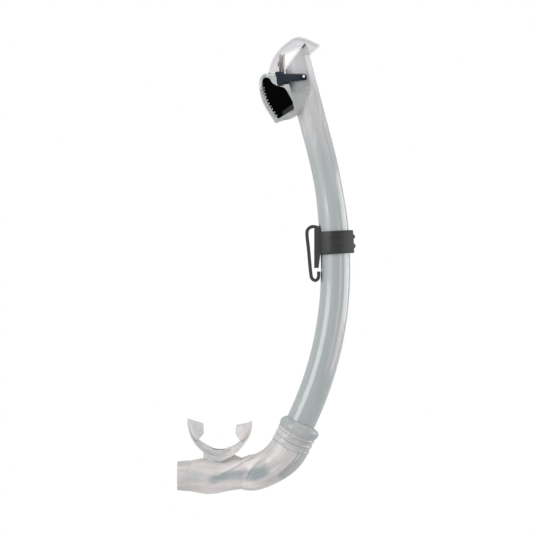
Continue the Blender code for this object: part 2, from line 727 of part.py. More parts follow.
def mouthpiece():
    obj = flange()
    left = [(-114.2, -155.3), (-101.6, -159.5), (-101.3, -168.9), (-105.2, -173.0)]
    left += [(-107.2, -175.6), (-111.6, -169.5), (-113.8, -161.0)]
    left_ridge = [(-104.6, -158.6), (-101.6, -159.5), (-101.3, -168.9), (-104.4, -172.0)]
    right = [(-56.6, -158.5), (-69.7, -160.8), (-70.3, -168.4), (-67.0, -174.0)]
    right += [(-64.6, -176.2), (-59.6, -169.8), (-57.2, -162.0)]
    right_ridge = [(-66.9, -160.3), (-69.7, -160.8), (-70.3, -168.4), (-67.4, -173.2)]
    join(obj, bite_tab(left, left_ridge), bite_tab(right, right_ridge))
    join(obj, oval("neck", -87.0, 15.0, 12.0, -200.0, -184.6, 0.92))
    cut(obj, purge_solid("fit", 0.3, False))
    cut(obj, oval("socket", -87.0, 11.3, 8.9, -215.0, -186.5))
    cut(obj, oval("throat", -87.0, 9.2, 6.8, -215.0, -170.0))
    trim = [(-130, -230), (-40, -230), (-40, -200.5), (-130, -200.5)]
    cut(obj, plate("trim", trim, -40, 40))
    return material(obj, "mouthpiece_silicone", (0.66, 0.64, 0.63), 0.35)


def clear_scene():
    for obj in list(bpy.data.objects):
        bpy.data.objects.remove(obj)


def build():
    clear_scene()
    main_tube()
    inlet_seat()
    hood()
    hood_lock_key()
    float_chamber()
    float_pivot_pin()
    lever_pin("lever_pin_front", -1)
    lever_pin("lever_pin_back", 1)
    swivel_collar()
    swivel_o_ring()
    float_body()
    float_arm()
    valve_lever()
    seal_pad()
    keeper()
    elbow()
    chamber_connector()
    purge_chamber()
    purge_seat()
    purge_disc()
    purge_cap()
    mouthpiece()


build()
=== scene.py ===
"""Looks of the dry-top snorkel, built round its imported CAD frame.

Lengths are in millimetres until a mesh is made. The snorkel lies in the plane Y=0, +Z up.
"""

import math

import bmesh
import bpy
import numpy as np
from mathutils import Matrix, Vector


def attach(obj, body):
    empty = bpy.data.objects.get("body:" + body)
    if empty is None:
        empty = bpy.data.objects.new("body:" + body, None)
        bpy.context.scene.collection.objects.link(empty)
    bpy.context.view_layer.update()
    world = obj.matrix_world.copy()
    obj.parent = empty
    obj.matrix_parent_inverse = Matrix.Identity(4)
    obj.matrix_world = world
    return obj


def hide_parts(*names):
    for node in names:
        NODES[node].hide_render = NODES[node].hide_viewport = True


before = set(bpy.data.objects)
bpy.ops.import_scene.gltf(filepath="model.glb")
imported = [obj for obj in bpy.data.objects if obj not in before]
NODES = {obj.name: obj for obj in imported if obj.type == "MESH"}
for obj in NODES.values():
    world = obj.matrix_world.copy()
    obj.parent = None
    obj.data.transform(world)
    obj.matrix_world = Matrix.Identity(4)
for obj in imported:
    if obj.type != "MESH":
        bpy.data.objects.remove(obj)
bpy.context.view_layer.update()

MM = 0.001
THROUGH = 30.0  # half length of a cutter that goes right through the snorkel

# tube line
APEX = (22.6, -15.0)
R_UPPER = 456.0
R_LOWER = 329.0
LEAN = 14.8
CUFF_ANGLE = 26.0
TOP_LENGTH = 104.0
TUBE_END = 19.0
R_TOP = 12.8
R_LOW = 13.85
TUBE_WALL = 1.6

# valve
LEVER_PIVOT = (-7.5, 165.9)
FLOAT_PIVOT = (-18.0, 134.9)
SEAT_DISTANCE = 18.0
CLOSE_DEG = 36.87
FLOAT_DEG = 15.5
SEAL_Z = 178.5

# hood and chamber
HALF = 17.0  # half of their depth along Y
HOOD_WALL = 1.4
HOOD_FOOT = 169.75
CHAMBER_WALL = 1.6
CHAMBER_RIM = 169.35
ROUNDING = 2.4
TUBE_GAP = 0.25
RIB_COUNT = 10
OUTLINE_STEP = 1.4

# lower end
ELBOW_END = (-65.8, -206.3)
PURGE_Z = -208.5
END_X = -126.0
MOUTH = (-85.5, -155.6)
FLANGE_R = 27.0
FLANGE_T = 2.4
FLANGE_DEG = 86
NECK_X = -87.0
THROAT = (NECK_X, 9.2, 6.8)
CUFF_LENGTH = 24.0
RING_DROP = 2.2


# ------------------------------------------------------------------ plane geometry


def unit(deg):
    """Direction in the XZ plane, from +X towards +Z."""
    return Vector((math.cos(math.radians(deg)), math.sin(math.radians(deg))))


TOP_AXIS = unit(90 + LEAN)
TOP_SIDE = Vector((TOP_AXIS.y, -TOP_AXIS.x))
UPPER_CENTRE = Vector((APEX[0] - R_UPPER, APEX[1]))
LOWER_CENTRE = Vector((APEX[0] - R_LOWER, APEX[1]))
TOP_START = UPPER_CENTRE + R_UPPER * unit(LEAN)
END_START = LOWER_CENTRE + R_LOWER * unit(-CUFF_ANGLE)
END_AXIS = unit(-90 - CUFF_ANGLE)
SEAT_NORMAL = unit(180 - CLOSE_DEG)
SEAT_ALONG = unit(90 - CLOSE_DEG)
SEAT_FOOT = Vector(LEVER_PIVOT) + SEAT_DISTANCE * SEAT_NORMAL
UPPER_LENGTH = R_UPPER * math.radians(LEAN)
LOWER_LENGTH = R_LOWER * math.radians(CUFF_ANGLE)
TUBE_LENGTH = TOP_LENGTH + UPPER_LENGTH + LOWER_LENGTH + TUBE_END


def on_top(along, across):
    """A point by its distance up the straight top and across it, towards the back."""
    return TOP_START + along * TOP_AXIS + across * TOP_SIDE


def on_seat(along, out):
    """A point by its distance up the seat plane and out of it."""
    return SEAT_FOOT + along * SEAT_ALONG + out * SEAT_NORMAL


def tube_point(s):
    """Centre and tangent of the tube at a distance from its top."""
    if s <= TOP_LENGTH:
        return on_top(TOP_LENGTH - s, 0), -TOP_AXIS
    s -= TOP_LENGTH
    if s <= UPPER_LENGTH:
        a = LEAN - math.degrees(s / R_UPPER)
        return UPPER_CENTRE + R_UPPER * unit(a), unit(a - 90)
    s -= UPPER_LENGTH
    if s <= LOWER_LENGTH:
        a = math.degrees(s / R_LOWER)
        return LOWER_CENTRE + R_LOWER * unit(-a), unit(-90 - a)
    s -= LOWER_LENGTH
    return END_START + END_AXIS * s, END_AXIS


def smooth(t):
    """Smooth step from 0 to 1."""
    t = np.clip(t, 0.0, 1.0)
    return t * t * (3 - 2 * t)


def spline(points, step):
    """Centripetal Catmull-Rom curve through points, at about an even step."""
    pts = [Vector(p) for p in points]
    ring = [2 * pts[0] - pts[1]] + pts + [2 * pts[-1] - pts[-2]]
    out = []
    for i in range(1, len(ring) - 2):
        p0, p1, p2, p3 = ring[i - 1 : i + 3]
        t0 = 0.0
        t1 = t0 + max((p1 - p0).length, 1e-6) ** 0.5
        t2 = t1 + max((p2 - p1).length, 1e-6) ** 0.5
        t3 = t2 + max((p3 - p2).length, 1e-6) ** 0.5
        count = max(1, round((p2 - p1).length / step))
        for k in range(count):
            t = t1 + (t2 - t1) * k / count
            a1 = (t1 - t) / (t1 - t0) * p0 + (t - t0) / (t1 - t0) * p1
            a2 = (t2 - t) / (t2 - t1) * p1 + (t - t1) / (t2 - t1) * p2
            a3 = (t3 - t) / (t3 - t2) * p2 + (t - t2) / (t3 - t2) * p3
            b1 = (t2 - t) / (t2 - t0) * a1 + (t - t0) / (t2 - t0) * a2
            b2 = (t3 - t) / (t3 - t1) * a2 + (t - t1) / (t3 - t1) * a3
            out.append((t2 - t) / (t2 - t1) * b1 + (t - t1) / (t2 - t1) * b2)
    return out + [pts[-1]]


def smooth_run(points, step, keep_off=0.0):
    """A curve between two corners, with no points close to the corners except their own."""
    curve = spline(points, step)
    first, last = curve[0], curve[-1]
    inner = [p for p in curve[1:-1] if min((p - first).length, (p - last).length) > keep_off]
    return [first] + inner + [last]


def join_runs(*runs):
    """Closed outline from runs that share their end points."""
    return [Vector(p) for run in runs for p in run[:-1]]


def inset(poly, d):
    """The outline moved inwards by d."""
    pts = [Vector(p) for p in poly]
    n = len(pts)
    area = sum(pts[i].x * pts[(i + 1) % n].y - pts[(i + 1) % n].x * pts[i].y for i in range(n))
    side = 1.0 if area > 0 else -1.0
    out = []
    for i in range(n):
        before = (pts[i] - pts[i - 1]).normalized()
        after = (pts[(i + 1) % n] - pts[i]).normalized()
        n1 = side * Vector((-before.y, before.x))
        n2 = side * Vector((-after.y, after.x))
        mid = (n1 + n2).normalized()
        out.append(pts[i] + mid * (d / max(mid.dot(n1), 0.35)))
    return out


def ribbon(points, half):
    """Closed outline of a strip of even thickness round a centre line."""
    pts = [Vector(p) for p in points]
    left = []
    right = []
    for i, p in enumerate(pts):
        step = (pts[min(i + 1, len(pts) - 1)] - pts[max(i - 1, 0)]).normalized()
        normal = Vector((-step.y, step.x))
        left.append(p + half * normal)
        right.append(p - half * normal)
    return left + right[::-1]


def turned(points, pivot, deg):
    """Points turned about a pivot, clockwise from the front."""
    c = math.cos(math.radians(deg))
    s = math.sin(math.radians(deg))
    out = []
    for p in points:
        x = p[0] - pivot[0]
        z = p[1] - pivot[1]
        out.append(Vector((pivot[0] + c * x + s * z, pivot[1] - s * x + c * z)))
    return out


# ------------------------------------------------------------------ meshes


def link(obj):
    """Puts an object in the scene."""
    bpy.context.scene.collection.objects.link(obj)
    return obj


def mesh_object(name, verts, faces):
    """An object from millimetre vertices with its faces turned outwards."""
    mesh = bpy.data.meshes.new(name)
    mesh.from_pydata([tuple(c * MM for c in v) for v in verts], [], faces)
    bm = bmesh.new()
    bm.from_mesh(mesh)
    bmesh.ops.recalc_face_normals(bm, faces=bm.faces)
    bm.to_mesh(mesh)
    bm.free()
    return link(bpy.data.objects.new(name, mesh))


def stack(rings, closed=False):
    """Vertices and faces of rings joined in turn; an open stack is capped."""
    n = len(rings[0])
    verts = [v for ring in rings for v in ring]
    faces = []
    for i in range(len(rings) if closed else len(rings) - 1):
        a = i * n
        b = ((i + 1) % len(rings)) * n
        for j in range(n):
            k = (j + 1) % n
            faces.append((a + j, a + k, b + k, b + j))
    if not closed:
        faces.append(tuple(range(n)))
        faces.append(tuple((len(rings) - 1) * n + j for j in range(n)))
    return verts, faces


def plate(name, poly, y0, y1):
    """An outline drawn out along Y."""
    return mesh_object(name, *stack([[(p[0], y, p[1]) for p in poly] for y in (y0, y1)]))


def pillow(name, poly, half, edge, steps=5, middle=0.0):
    """An outline drawn out to both sides of Y=0 with rounded edges."""
    rings = []
    angles = [90.0 * k / steps for k in range(steps + 1)]
    for side in (-1, 1):
        for a in angles[::side]:
            y = middle + side * (half - edge + edge * math.sin(math.radians(a)))
            shape = inset(poly, edge * (1 - math.cos(math.radians(a))))
            rings.append([(p.x, y, p.y) for p in shape])
    return mesh_object(name, *stack(rings))


def ring_angles(count):
    """Even angles round a ring, starting half a step in."""
    return 2 * math.pi * (np.arange(count) + 0.5) / count


def circle(centre, tangent, radius, count):
    """A ring across the plane; radius is a number or one per point."""
    normal = Vector((-tangent.y, tangent.x))
    out = []
    for a, r in zip(ring_angles(count), np.broadcast_to(radius, (count,))):
        off = normal * float(r * math.cos(a))
        out.append((centre.x + off.x, float(r * math.sin(a)), centre.y + off.y))
    return out


def pipe(name, stations, count, bump):
    """Hollow body from (centre, tangent, outer, inner) stations; bump(i, angles) adds to the outside."""
    angles = ring_angles(count)
    rings = [circle(c, t, r + bump(i, angles), count) for i, (c, t, r, _) in enumerate(stations)]
    rings += [circle(c, t, r, count) for c, t, _, r in stations[::-1]]
    return mesh_object(name, *stack(rings, True))


def rod(name, path, radii, count, tans):
    """Closed rod along a path, with the path's tangents."""
    return mesh_object(name, *stack([circle(p, t, r, count) for p, t, r in zip(path, tans, radii)]))


def line_tangents(path):
    """Direction of a line at each of its points."""
    n = len(path)
    return [(path[min(i + 1, n - 1)] - path[max(i - 1, 0)]).normalized() for i in range(n)]


def peg(name, x, z, radius, y0, y1):
    """A straight round bar along Y."""
    count = 40
    poly = [Vector((x, z)) + radius * unit(360.0 * (i + 0.5) / count) for i in range(count)]
    return plate(name, poly, y0, y1)


def oval(name, centre, half_x, half_y, z0, z1):
    """An upright bar of oval section in the middle plane."""
    section = [(centre + half_x * math.cos(a), half_y * math.sin(a)) for a in ring_angles(64)]
    return mesh_object(name, *stack([[(x, y, z) for x, y in section] for z in (z0, z1)]))


def settle(obj):
    """Applies an object's modifiers to its mesh."""
    graph = bpy.context.evaluated_depsgraph_get()
    graph.update()
    done = bpy.data.meshes.new_from_object(obj.evaluated_get(graph))
    obj.modifiers.clear()
    old = obj.data
    obj.data = done
    done.name = obj.name
    bpy.data.meshes.remove(old)
    return obj


def combine(target, how, *tools):
    """Exact booleans, applied in turn; the tools are removed."""
    for tool in tools:
        mod = target.modifiers.new(how.lower(), "BOOLEAN")
        mod.operation = how
        mod.solver = "EXACT"
        mod.object = tool
        settle(target)
        bpy.data.objects.remove(tool)
    return target


def cut(target, *tools):
    return combine(target, "DIFFERENCE", *tools)


def fuse(target, *tools):
    return combine(target, "UNION", *tools)


def shade(obj, deg=32):
    """Smooth shading with creases over an angle."""
    mesh = obj.data
    mesh.polygons.foreach_set("use_smooth", [True] * len(mesh.polygons))
    mesh.set_sharp_from_angle(angle=math.radians(deg))
    return obj


def bevel(obj, width, segments=2, deg=40):
    mod = obj.modifiers.new("edge", "BEVEL")
    mod.width = width * MM
    mod.segments = segments
    mod.limit_method = "ANGLE"
    mod.angle_limit = math.radians(deg)
    mod.use_clamp_overlap = True
    mod.harden_normals = False
    return settle(obj)


def remesh(obj, voxel, rounds):
    """One skin over fused shapes, smoothed so that they flow together."""
    mod = obj.modifiers.new("skin", "REMESH")
    mod.mode = "VOXEL"
    mod.voxel_size = voxel * MM
    mod.use_smooth_shade = True
    soft = obj.modifiers.new("soft", "SMOOTH")
    soft.factor = 0.5
    soft.iterations = rounds
    return settle(obj)


def points_of(obj):
    """Vertex places of an object, in millimetres."""
    co = np.empty(len(obj.data.vertices) * 3)
    obj.data.vertices.foreach_get("co", co)
    return co.reshape(-1, 3) / MM


def place_points(obj, points):
    """Puts the vertices of an object at places in millimetres."""
    obj.data.vertices.foreach_set("co", (points * MM).ravel())
    obj.data.update()
    return obj


def push(obj, offset, seam):
    """Moves vertices along their normals by offset(points, normals), in mm; at x=seam not along X."""
    mesh = obj.data
    points = points_of(obj)
    normal = np.empty(len(points) * 3)
    mesh.vertex_normals.foreach_get("vector", normal)
    normal = normal.reshape(-1, 3)
    rim = np.abs(points[:, 0] - seam) < 0.4
    normal[rim, 0] = 0.0
    normal[rim] /= np.linalg.norm(normal[rim], axis=1, keepdims=True)
    return place_points(obj, points + normal * offset(points, normal)[:, None])


def line_distance(points, line):
    """Signed distance in the XZ plane to a polyline and the share of its length, for each point."""
    p = points[:, [0, 2]]
    line = np.array([tuple(q) for q in line])
    best = np.full(len(p), 1e9)
    side = np.ones(len(p))
    share = np.zeros(len(p))
    lengths = np.linalg.norm(np.diff(line, axis=0), axis=1)
    total = lengths.sum()
    run = 0.0
    for i, length in enumerate(lengths):
        a = line[i]
        d = (line[i + 1] - a) / length
        rel = p - a
        t = np.clip(rel @ d, 0, length)
        off = rel - t[:, None] * d
        dist = np.linalg.norm(off, axis=1)
        nearer = dist < best
        best[nearer] = dist[nearer]
        cross = d[0] * rel[:, 1] - d[1] * rel[:, 0]
        side[nearer] = np.sign(cross)[nearer]
        share[nearer] = ((run + t) / total)[nearer]
        run += length
    return best * side, share


# ------------------------------------------------------------------ materials


class Paint:
    """A node material whose principled shader gets procedural inputs."""

    def __init__(self, name):
        self.mat = bpy.data.materials.new(name)
        self.mat.use_nodes = True
        self.tree = self.mat.node_tree
        self.shader = self.tree.nodes["Principled BSDF"]
        self.output = self.tree.nodes["Material Output"]
        self.coords = self.tree.nodes.new("ShaderNodeTexCoord").outputs["Object"]

    def node(self, kind, **values):
        node = self.tree.nodes.new(kind)
        for key, value in values.items():
            if hasattr(node, key):
                setattr(node, key, value)
            else:
                node.inputs[key.replace("_", " ")].default_value = value
        return node

    def wire(self, source, target):
        self.tree.links.new(source, target)

    def noise(self, scale, detail=3.0, rough=0.55, stretch=(1, 1, 1), vector=None):
        """Noise over a vector socket, or over object coordinates scaled by stretch."""
        node = self.node("ShaderNodeTexNoise", Scale=scale, Detail=detail, Roughness=rough)
        if vector is None:
            scaled = self.node("ShaderNodeVectorMath", operation="MULTIPLY")
            self.wire(self.coords, scaled.inputs[0])
            scaled.inputs[1].default_value = stretch
            vector = scaled.outputs[0]
        self.wire(vector, node.inputs["Vector"])
        return node.outputs["Fac"]

    def stored(self, name):
        """The node that reads a value or vector stored on the mesh."""
        return self.node("ShaderNodeAttribute", attribute_type="GEOMETRY", attribute_name=name)

    def blend(self, factor, one, two):
        """Ends the material in a mix of two shaders."""
        both = self.node("ShaderNodeMixShader")
        for source, socket in zip((factor, one, two), both.inputs):
            self.wire(source, socket)
        self.wire(both.outputs[0], self.output.inputs["Surface"])

    def ramp(self, source, *stops):
        """Colour ramp from (position, colour) stops."""
        node = self.node("ShaderNodeValToRGB")
        band = node.color_ramp
        while len(band.elements) < len(stops):
            band.elements.new(0.5)
        for element, (place, colour) in zip(band.elements, stops):
            element.position = place
            element.color = (*colour, 1) if len(colour) == 3 else colour
        self.wire(source, node.inputs["Fac"])
        return node.outputs["Color"]

    def levels(self, source, low, high, out_low, out_high):
        """A value moved from one range to another, held at its ends."""
        node = self.node("ShaderNodeMapRange")
        self.wire(source, node.inputs["Value"])
        for key, value in zip(("From Min", "From Max", "To Min", "To Max"), (low, high, out_low, out_high)):
            node.inputs[key].default_value = value
        return node.outputs["Result"]

    def mix(self, factor, one, two, blend="MIX"):
        """Colour mix; each colour is a socket or a value."""
        node = self.node("ShaderNodeMix", data_type="RGBA", blend_type=blend)
        for value, socket in ((factor, node.inputs[0]), (one, node.inputs[6]), (two, node.inputs[7])):
            if isinstance(value, bpy.types.NodeSocket):
                self.wire(value, socket)
            elif isinstance(value, (int, float)):
                socket.default_value = value
            else:
                socket.default_value = (*value, 1)
        return node.outputs[2]

    def maths(self, operation, one, two=0.0):
        """A sum, product or other result of sockets and numbers."""
        node = self.node("ShaderNodeMath", operation=operation)
        for value, socket in ((one, node.inputs[0]), (two, node.inputs[1])):
            if isinstance(value, bpy.types.NodeSocket):
                self.wire(value, socket)
            else:
                socket.default_value = value
        return node.outputs[0]

    def axis(self, name):
        node = self.node("ShaderNodeSeparateXYZ")
        self.wire(self.coords, node.inputs[0])
        return node.outputs[name]

    def bump(self, *layers):
        """Bumps from (height socket, strength, distance in metres)."""
        last = None
        for height, strength, distance in layers:
            node = self.node("ShaderNodeBump", Strength=strength, Distance=distance)
            self.wire(height, node.inputs["Height"])
            if last:
                self.wire(last, node.inputs["Normal"])
            last = node.outputs["Normal"]
        self.wire(last, self.shader.inputs["Normal"])

    def set(self, **values):
        """Sets or wires inputs of the principled shader, by name."""
        for key, value in values.items():
            socket = self.shader.inputs[key.replace("_", " ")]
            if isinstance(value, bpy.types.NodeSocket):
                self.wire(value, socket)
            elif isinstance(value, tuple) and len(value) == 3:
                socket.default_value = (*value, 1)
            else:
                socket.default_value = value
        return self


def dress(obj, paint):
    """Puts a material on every slot of an object."""
    slots = obj.data.materials
    if not slots:
        slots.append(paint.mat)
    for i in range(len(slots)):
        slots[i] = paint.mat
    obj.active_material = paint.mat


def moulded(name, dark, light, rough, grain=900.0, depth=0.00006, spec=0.5):
    """Moulded plastic or rubber: cloudy colour, fine skin texture, smudged gloss."""
    p = Paint(name)
    cloud = p.noise(55.0, 4.0)
    fine = p.noise(grain, 3.0, 0.6)
    p.set(Base_Color=p.ramp(cloud, (0.3, dark), (0.7, light)))
    p.set(Roughness=p.levels(p.noise(120.0, 3.0), 0.3, 0.7, rough * 0.8, min(1.0, rough * 1.25)))
    p.set(Specular_IOR_Level=spec)
    p.bump((fine, 0.35, depth), (cloud, 0.15, 0.0004))
    return p


def see_through(name, tint, milk, haze, edge, rough, power=2.6, veil=None):
    """Clear moulded plastic: what is behind shows through, more milky where it is seen edge on.

    veil is (full below z, none above z, extra milk, tint), in metres, for walls that overlap.
    """
    p = Paint(name)
    cloud = p.noise(70.0, 4.0)
    fine = p.noise(420.0, 3.0, 0.6)
    p.set(Base_Color=p.ramp(cloud, (0.3, tuple(c * 0.95 for c in milk)), (0.7, milk)))
    p.set(Roughness=p.levels(fine, 0.3, 0.7, rough * 0.7, rough * 1.4))
    p.set(Specular_IOR_Level=0.35)
    p.bump((fine, 0.25, 0.00004), (cloud, 0.3, 0.0002))
    weight = p.node("ShaderNodeLayerWeight")
    weight.inputs["Blend"].default_value = 0.5
    facing = p.maths("POWER", weight.outputs["Facing"], power)
    amount = p.levels(facing, 0.0, 1.0, haze, edge)
    amount = p.maths("ADD", amount, p.levels(cloud, 0.3, 0.7, -0.015, 0.015))
    if veil:
        low, high, extra, deep = veil
        thick = p.levels(p.axis("Z"), low, high, 1.0, 0.0)
        amount = p.maths("ADD", amount, p.maths("MULTIPLY", thick, extra))
        tint = p.mix(thick, tint, deep)
    shadow = p.node("ShaderNodeLightPath").outputs["Is Shadow Ray"]
    amount = p.maths("MULTIPLY", amount, p.levels(shadow, 0.0, 1.0, 1.0, 0.3))
    clear = p.node("ShaderNodeBsdfTransparent")
    p.wire(p.mix(shadow, tint, (0.98, 0.98, 0.98)), clear.inputs["Color"])
    p.blend(amount, clear.outputs[0], p.shader.outputs[0])
    return p


def tube_paint():
    """Glossy grey-green translucent tube, with faint drawn streaks along it, painted light where the housing
    shades it, and painted highlight bands and painted shade lines from its stored tone.
    """
    p = Paint("tube_skin")
    streaks = p.noise(90.0, 4.0, 0.6, (1, 1, 0.05))
    cloud = p.noise(40.0, 4.0)
    fine = p.noise(1400.0, 2.0)
    body = p.ramp(streaks, (0.3, (0.385, 0.425, 0.418)), (0.7, (0.43, 0.460, 0.455)))
    body = p.mix(p.levels(cloud, 0.35, 0.65, 0.0, 0.3), body, (0.43, 0.445, 0.455))
    # Painted light: paler where the tube runs under the chamber and hood, in place of the shade that they and
    # the float cast on it.
    painted_light = p.levels(p.axis("Z"), 0.088, 0.126, 0.0, 0.9)
    body = p.mix(painted_light, body, (0.56, 0.545, 0.55))
    # Painted light: paler still at the top, under the hood.
    tip = p.levels(p.axis("Z"), 0.150, 0.176, 0.0, 0.9)
    body = p.mix(tip, body, (0.80, 0.79, 0.79))
    # White streaks, painted only within that painted light.
    white = p.maths("MULTIPLY", painted_light, p.levels(p.noise(260.0, 3.0, 0.6, (1, 1, 0.12)), 0.52, 0.66, 0.0, 0.4))
    body = p.mix(white, body, (0.80, 0.79, 0.79))
    # The stored tone paints light and shade: below 0 it mixes in painted highlight bands, above 0 painted
    # shade lines.
    tone = p.stored("tone").outputs["Fac"]
    body = p.mix(p.maths("MULTIPLY", tone, -1.0), body, (0.64, 0.61, 0.615))
    p.set(Base_Color=p.mix(p.maths("MULTIPLY", tone, 0.35), body, (0.20, 0.22, 0.23)))
    p.set(Roughness=p.levels(cloud, 0.3, 0.7, 0.10, 0.17))
    p.set(Specular_IOR_Level=0.62, Coat_Weight=0.6, Coat_Roughness=0.05)
    p.set(Subsurface_Weight=0.15, Subsurface_Scale=0.004)
    p.shader.inputs["Subsurface Radius"].default_value = (1.0, 1.0, 1.0)
    p.bump((fine, 0.15, 0.00002), (streaks, 0.10, 0.0002))
    return p


def silicone_paint(name, warm, cool, glow=0.25):
    """Soft translucent silicone: warm, cooler and deeper where the mesh's tone paints shade, paler where it
    paints highlights, streaked along its flow, with painted highlight streaks.
    """
    p = Paint(name)
    flow = p.stored("flow").outputs["Vector"]
    tone = p.stored("tone").outputs["Fac"]
    broad = p.noise(1.0, 3.0, 0.5, vector=flow)
    narrow = p.noise(2.6, 4.0, 0.6, vector=flow)
    cloud = p.noise(45.0, 3.0, 0.5)
    fine = p.noise(900.0, 2.0)
    # depth is the stored painted light and shade, with streaky colour noise.
    depth = p.maths("ADD", tone, p.levels(broad, 0.34, 0.66, -0.22, 0.22))
    depth = p.maths("ADD", depth, p.levels(narrow, 0.35, 0.65, -0.12, 0.12))
    # Colour of the painted highlights, where depth runs low.
    painted_light = tuple(min(1.0, c * 1.42) for c in warm)
    body = p.ramp(p.levels(depth, -0.5, 1.0, 0.0, 1.0), (0.0, painted_light), (0.40, warm), (0.97, cool))
    body = p.mix(p.levels(cloud, 0.42, 0.66, 0.0, 0.35), body, (warm[0], warm[1] * 0.95, warm[2] * 0.90))
    # Painted highlight streaks along the flow, fading where the painted shade is deep.
    light = p.maths("MULTIPLY", p.levels(narrow, 0.50, 0.64, 0.0, 0.75), p.levels(depth, 0.2, 0.7, 1.0, 0.15))
    p.set(Base_Color=p.mix(light, body, tuple(c * 1.22 for c in warm)))
    p.set(Roughness=p.levels(broad, 0.3, 0.7, 0.19, 0.29))
    p.set(Specular_IOR_Level=0.65, Subsurface_Weight=glow, Subsurface_Scale=0.003)
    p.shader.inputs["Subsurface Radius"].default_value = (1.0, 0.9, 0.85)
    p.bump((fine, 0.06, 0.00001), (narrow, 0.06, 0.0002), (broad, 0.3, 0.0006))
    return p


# ------------------------------------------------------------------ tube


def tube_radius(s):
    """Outer radius at a distance from the top: it widens a little in the upper arc."""
    a = LEAN - math.degrees((s - TOP_LENGTH) / R_UPPER)
    return R_TOP + (R_LOW - R_TOP) * float(smooth((10.4 - a) / 5.4))


RIDGES = ((0.9, 0.30), (8.6, 0.34))  # place across the tube and height


def tube_painted_light(points):
    """Painted light and shade on the tube: above 0 for painted shade lines at each ridge's foot and a painted
    dark line down the back edge, below 0 for painted highlight bands.
    """
    p = points[:, [0, 2]] - np.array(tuple(TOP_START))
    along = p @ np.array(tuple(TOP_AXIS))
    upper = points[:, 2] > APEX[1]
    x = points[:, 0] - np.where(upper, UPPER_CENTRE.x, LOWER_CENTRE.x)
    z = points[:, 2] - APEX[1]
    bend = np.hypot(x, z) - np.where(upper, R_UPPER, R_LOWER)
    across = np.where(along > 0, p @ np.array(tuple(TOP_SIDE)), bend)
    deg = np.where(along > 0, LEAN, np.degrees(np.arctan2(z, x)))
    fade = smooth((64 - along) / 10) * smooth((along + 46) / 50)
    lines = np.zeros(len(points))
    # Painted shade at the foot of each ridge.
    for place, _ in RIDGES:
        lines += ridge(across - place + 0.75, 0.4)
    # Painted shade down the back edge.
    back = 1.5 * smooth((across - 11.7) / 0.6) * smooth((97 - along) / 4) * smooth((along + 46) / 50)
    low = smooth((8.0 - deg) / 3.0) * smooth((deg + 18.0) / 3.0)
    # Painted highlight bands along the tube.
    painted_light = 0.40 * low * ridge(across - 4.4, 1.1)
    painted_light += 0.35 * smooth((deg - 7.0) / 3.0) * smooth((70 - along) / 20) * ridge(across - 6.5, 4.0)
    painted_light += (0.25 + 0.75 * smooth((-6.0 - deg) / 4.0)) * low * ridge(across - 9.4, 1.8)
    painted_light += 0.20 * smooth((deg + 9.0) / 6.0) * smooth((9.0 - deg) / 4.0) * ridge(across + 4.6, 1.8)
    return lines * fade + back - painted_light


def make_tube():
    """Tube with two faint moulded ridges down each side of the top."""
    steps = 150
    stations = []
    for i in range(steps + 1):
        s = TUBE_LENGTH * i / steps
        c, t = tube_point(s)
        r = tube_radius(s)
        stations.append((c, t, r, r - TUBE_WALL))

    def ridges(i, angles):
        s = TUBE_LENGTH * i / steps
        fade = float(smooth((s - 40) / 10) * smooth((150 - s) / 50))
        out = np.zeros(len(angles))
        for across, height in RIDGES:
            spot = math.acos(across / R_TOP)
            for sign in (-1, 1):
                gap = np.abs(np.angle(np.exp(1j * (angles - sign * spot)))) * R_TOP
                out += height * np.exp(-((gap / 0.55) ** 2))
        return out * fade

    obj = pipe("tube_shell", stations, 264, ridges)
    seat_back = -1.55
    away = [on_seat(-30, seat_back), on_seat(50, seat_back), on_seat(50, 60), on_seat(-30, 60)]
    tip = [on_seat(26, -30), on_seat(60, -30), on_seat(60, 40), on_seat(26, 40)]
    cut(obj, plate("slant", away, -THROUGH, THROUGH), plate("tip", tip, -THROUGH, THROUGH))
    shade(obj, 40)
    add_tone(obj, tube_painted_light)
    dress(obj, tube_paint())
    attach(obj, "tube")
    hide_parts("main_tube")


# ------------------------------------------------------------------ hood and chamber


def hood_outline():
    """Side view of the hood, from its front foot over the top to the beak and back down."""
    front = [(-40.5, HOOD_FOOT), (-38.8, 176.2), (-36.2, 182.4), (-33.4, 187.1), (-29.6, 191.8),
             (-24.9, 196.2), (-20.2, 199.8), (-16.9, 201.8), (-13.6, 202.8), (-8.0, 202.1),
             (-0.5, 199.3), (7.5, 195.3)]
    return join_runs(
        smooth_run(front, OUTLINE_STEP, 3.8),
        smooth_run([(7.5, 195.3), (2.3, 191.2), (-2.6, 186.6)], OUTLINE_STEP, 3.8),
        [(-2.6, 186.6), (-7.2, 185.6), (-5.0, 177.6), (-2.95, HOOD_FOOT), (-22.0, HOOD_FOOT), front[0]],
    )


def tube_core(name, low, high):
    """Room for the tube between two places up its straight top."""
    path = [on_top(low, 0), on_top(high, 0)]
    return rod(name, path, [R_TOP + TUBE_GAP] * 2, 96, [TOP_AXIS] * 2)


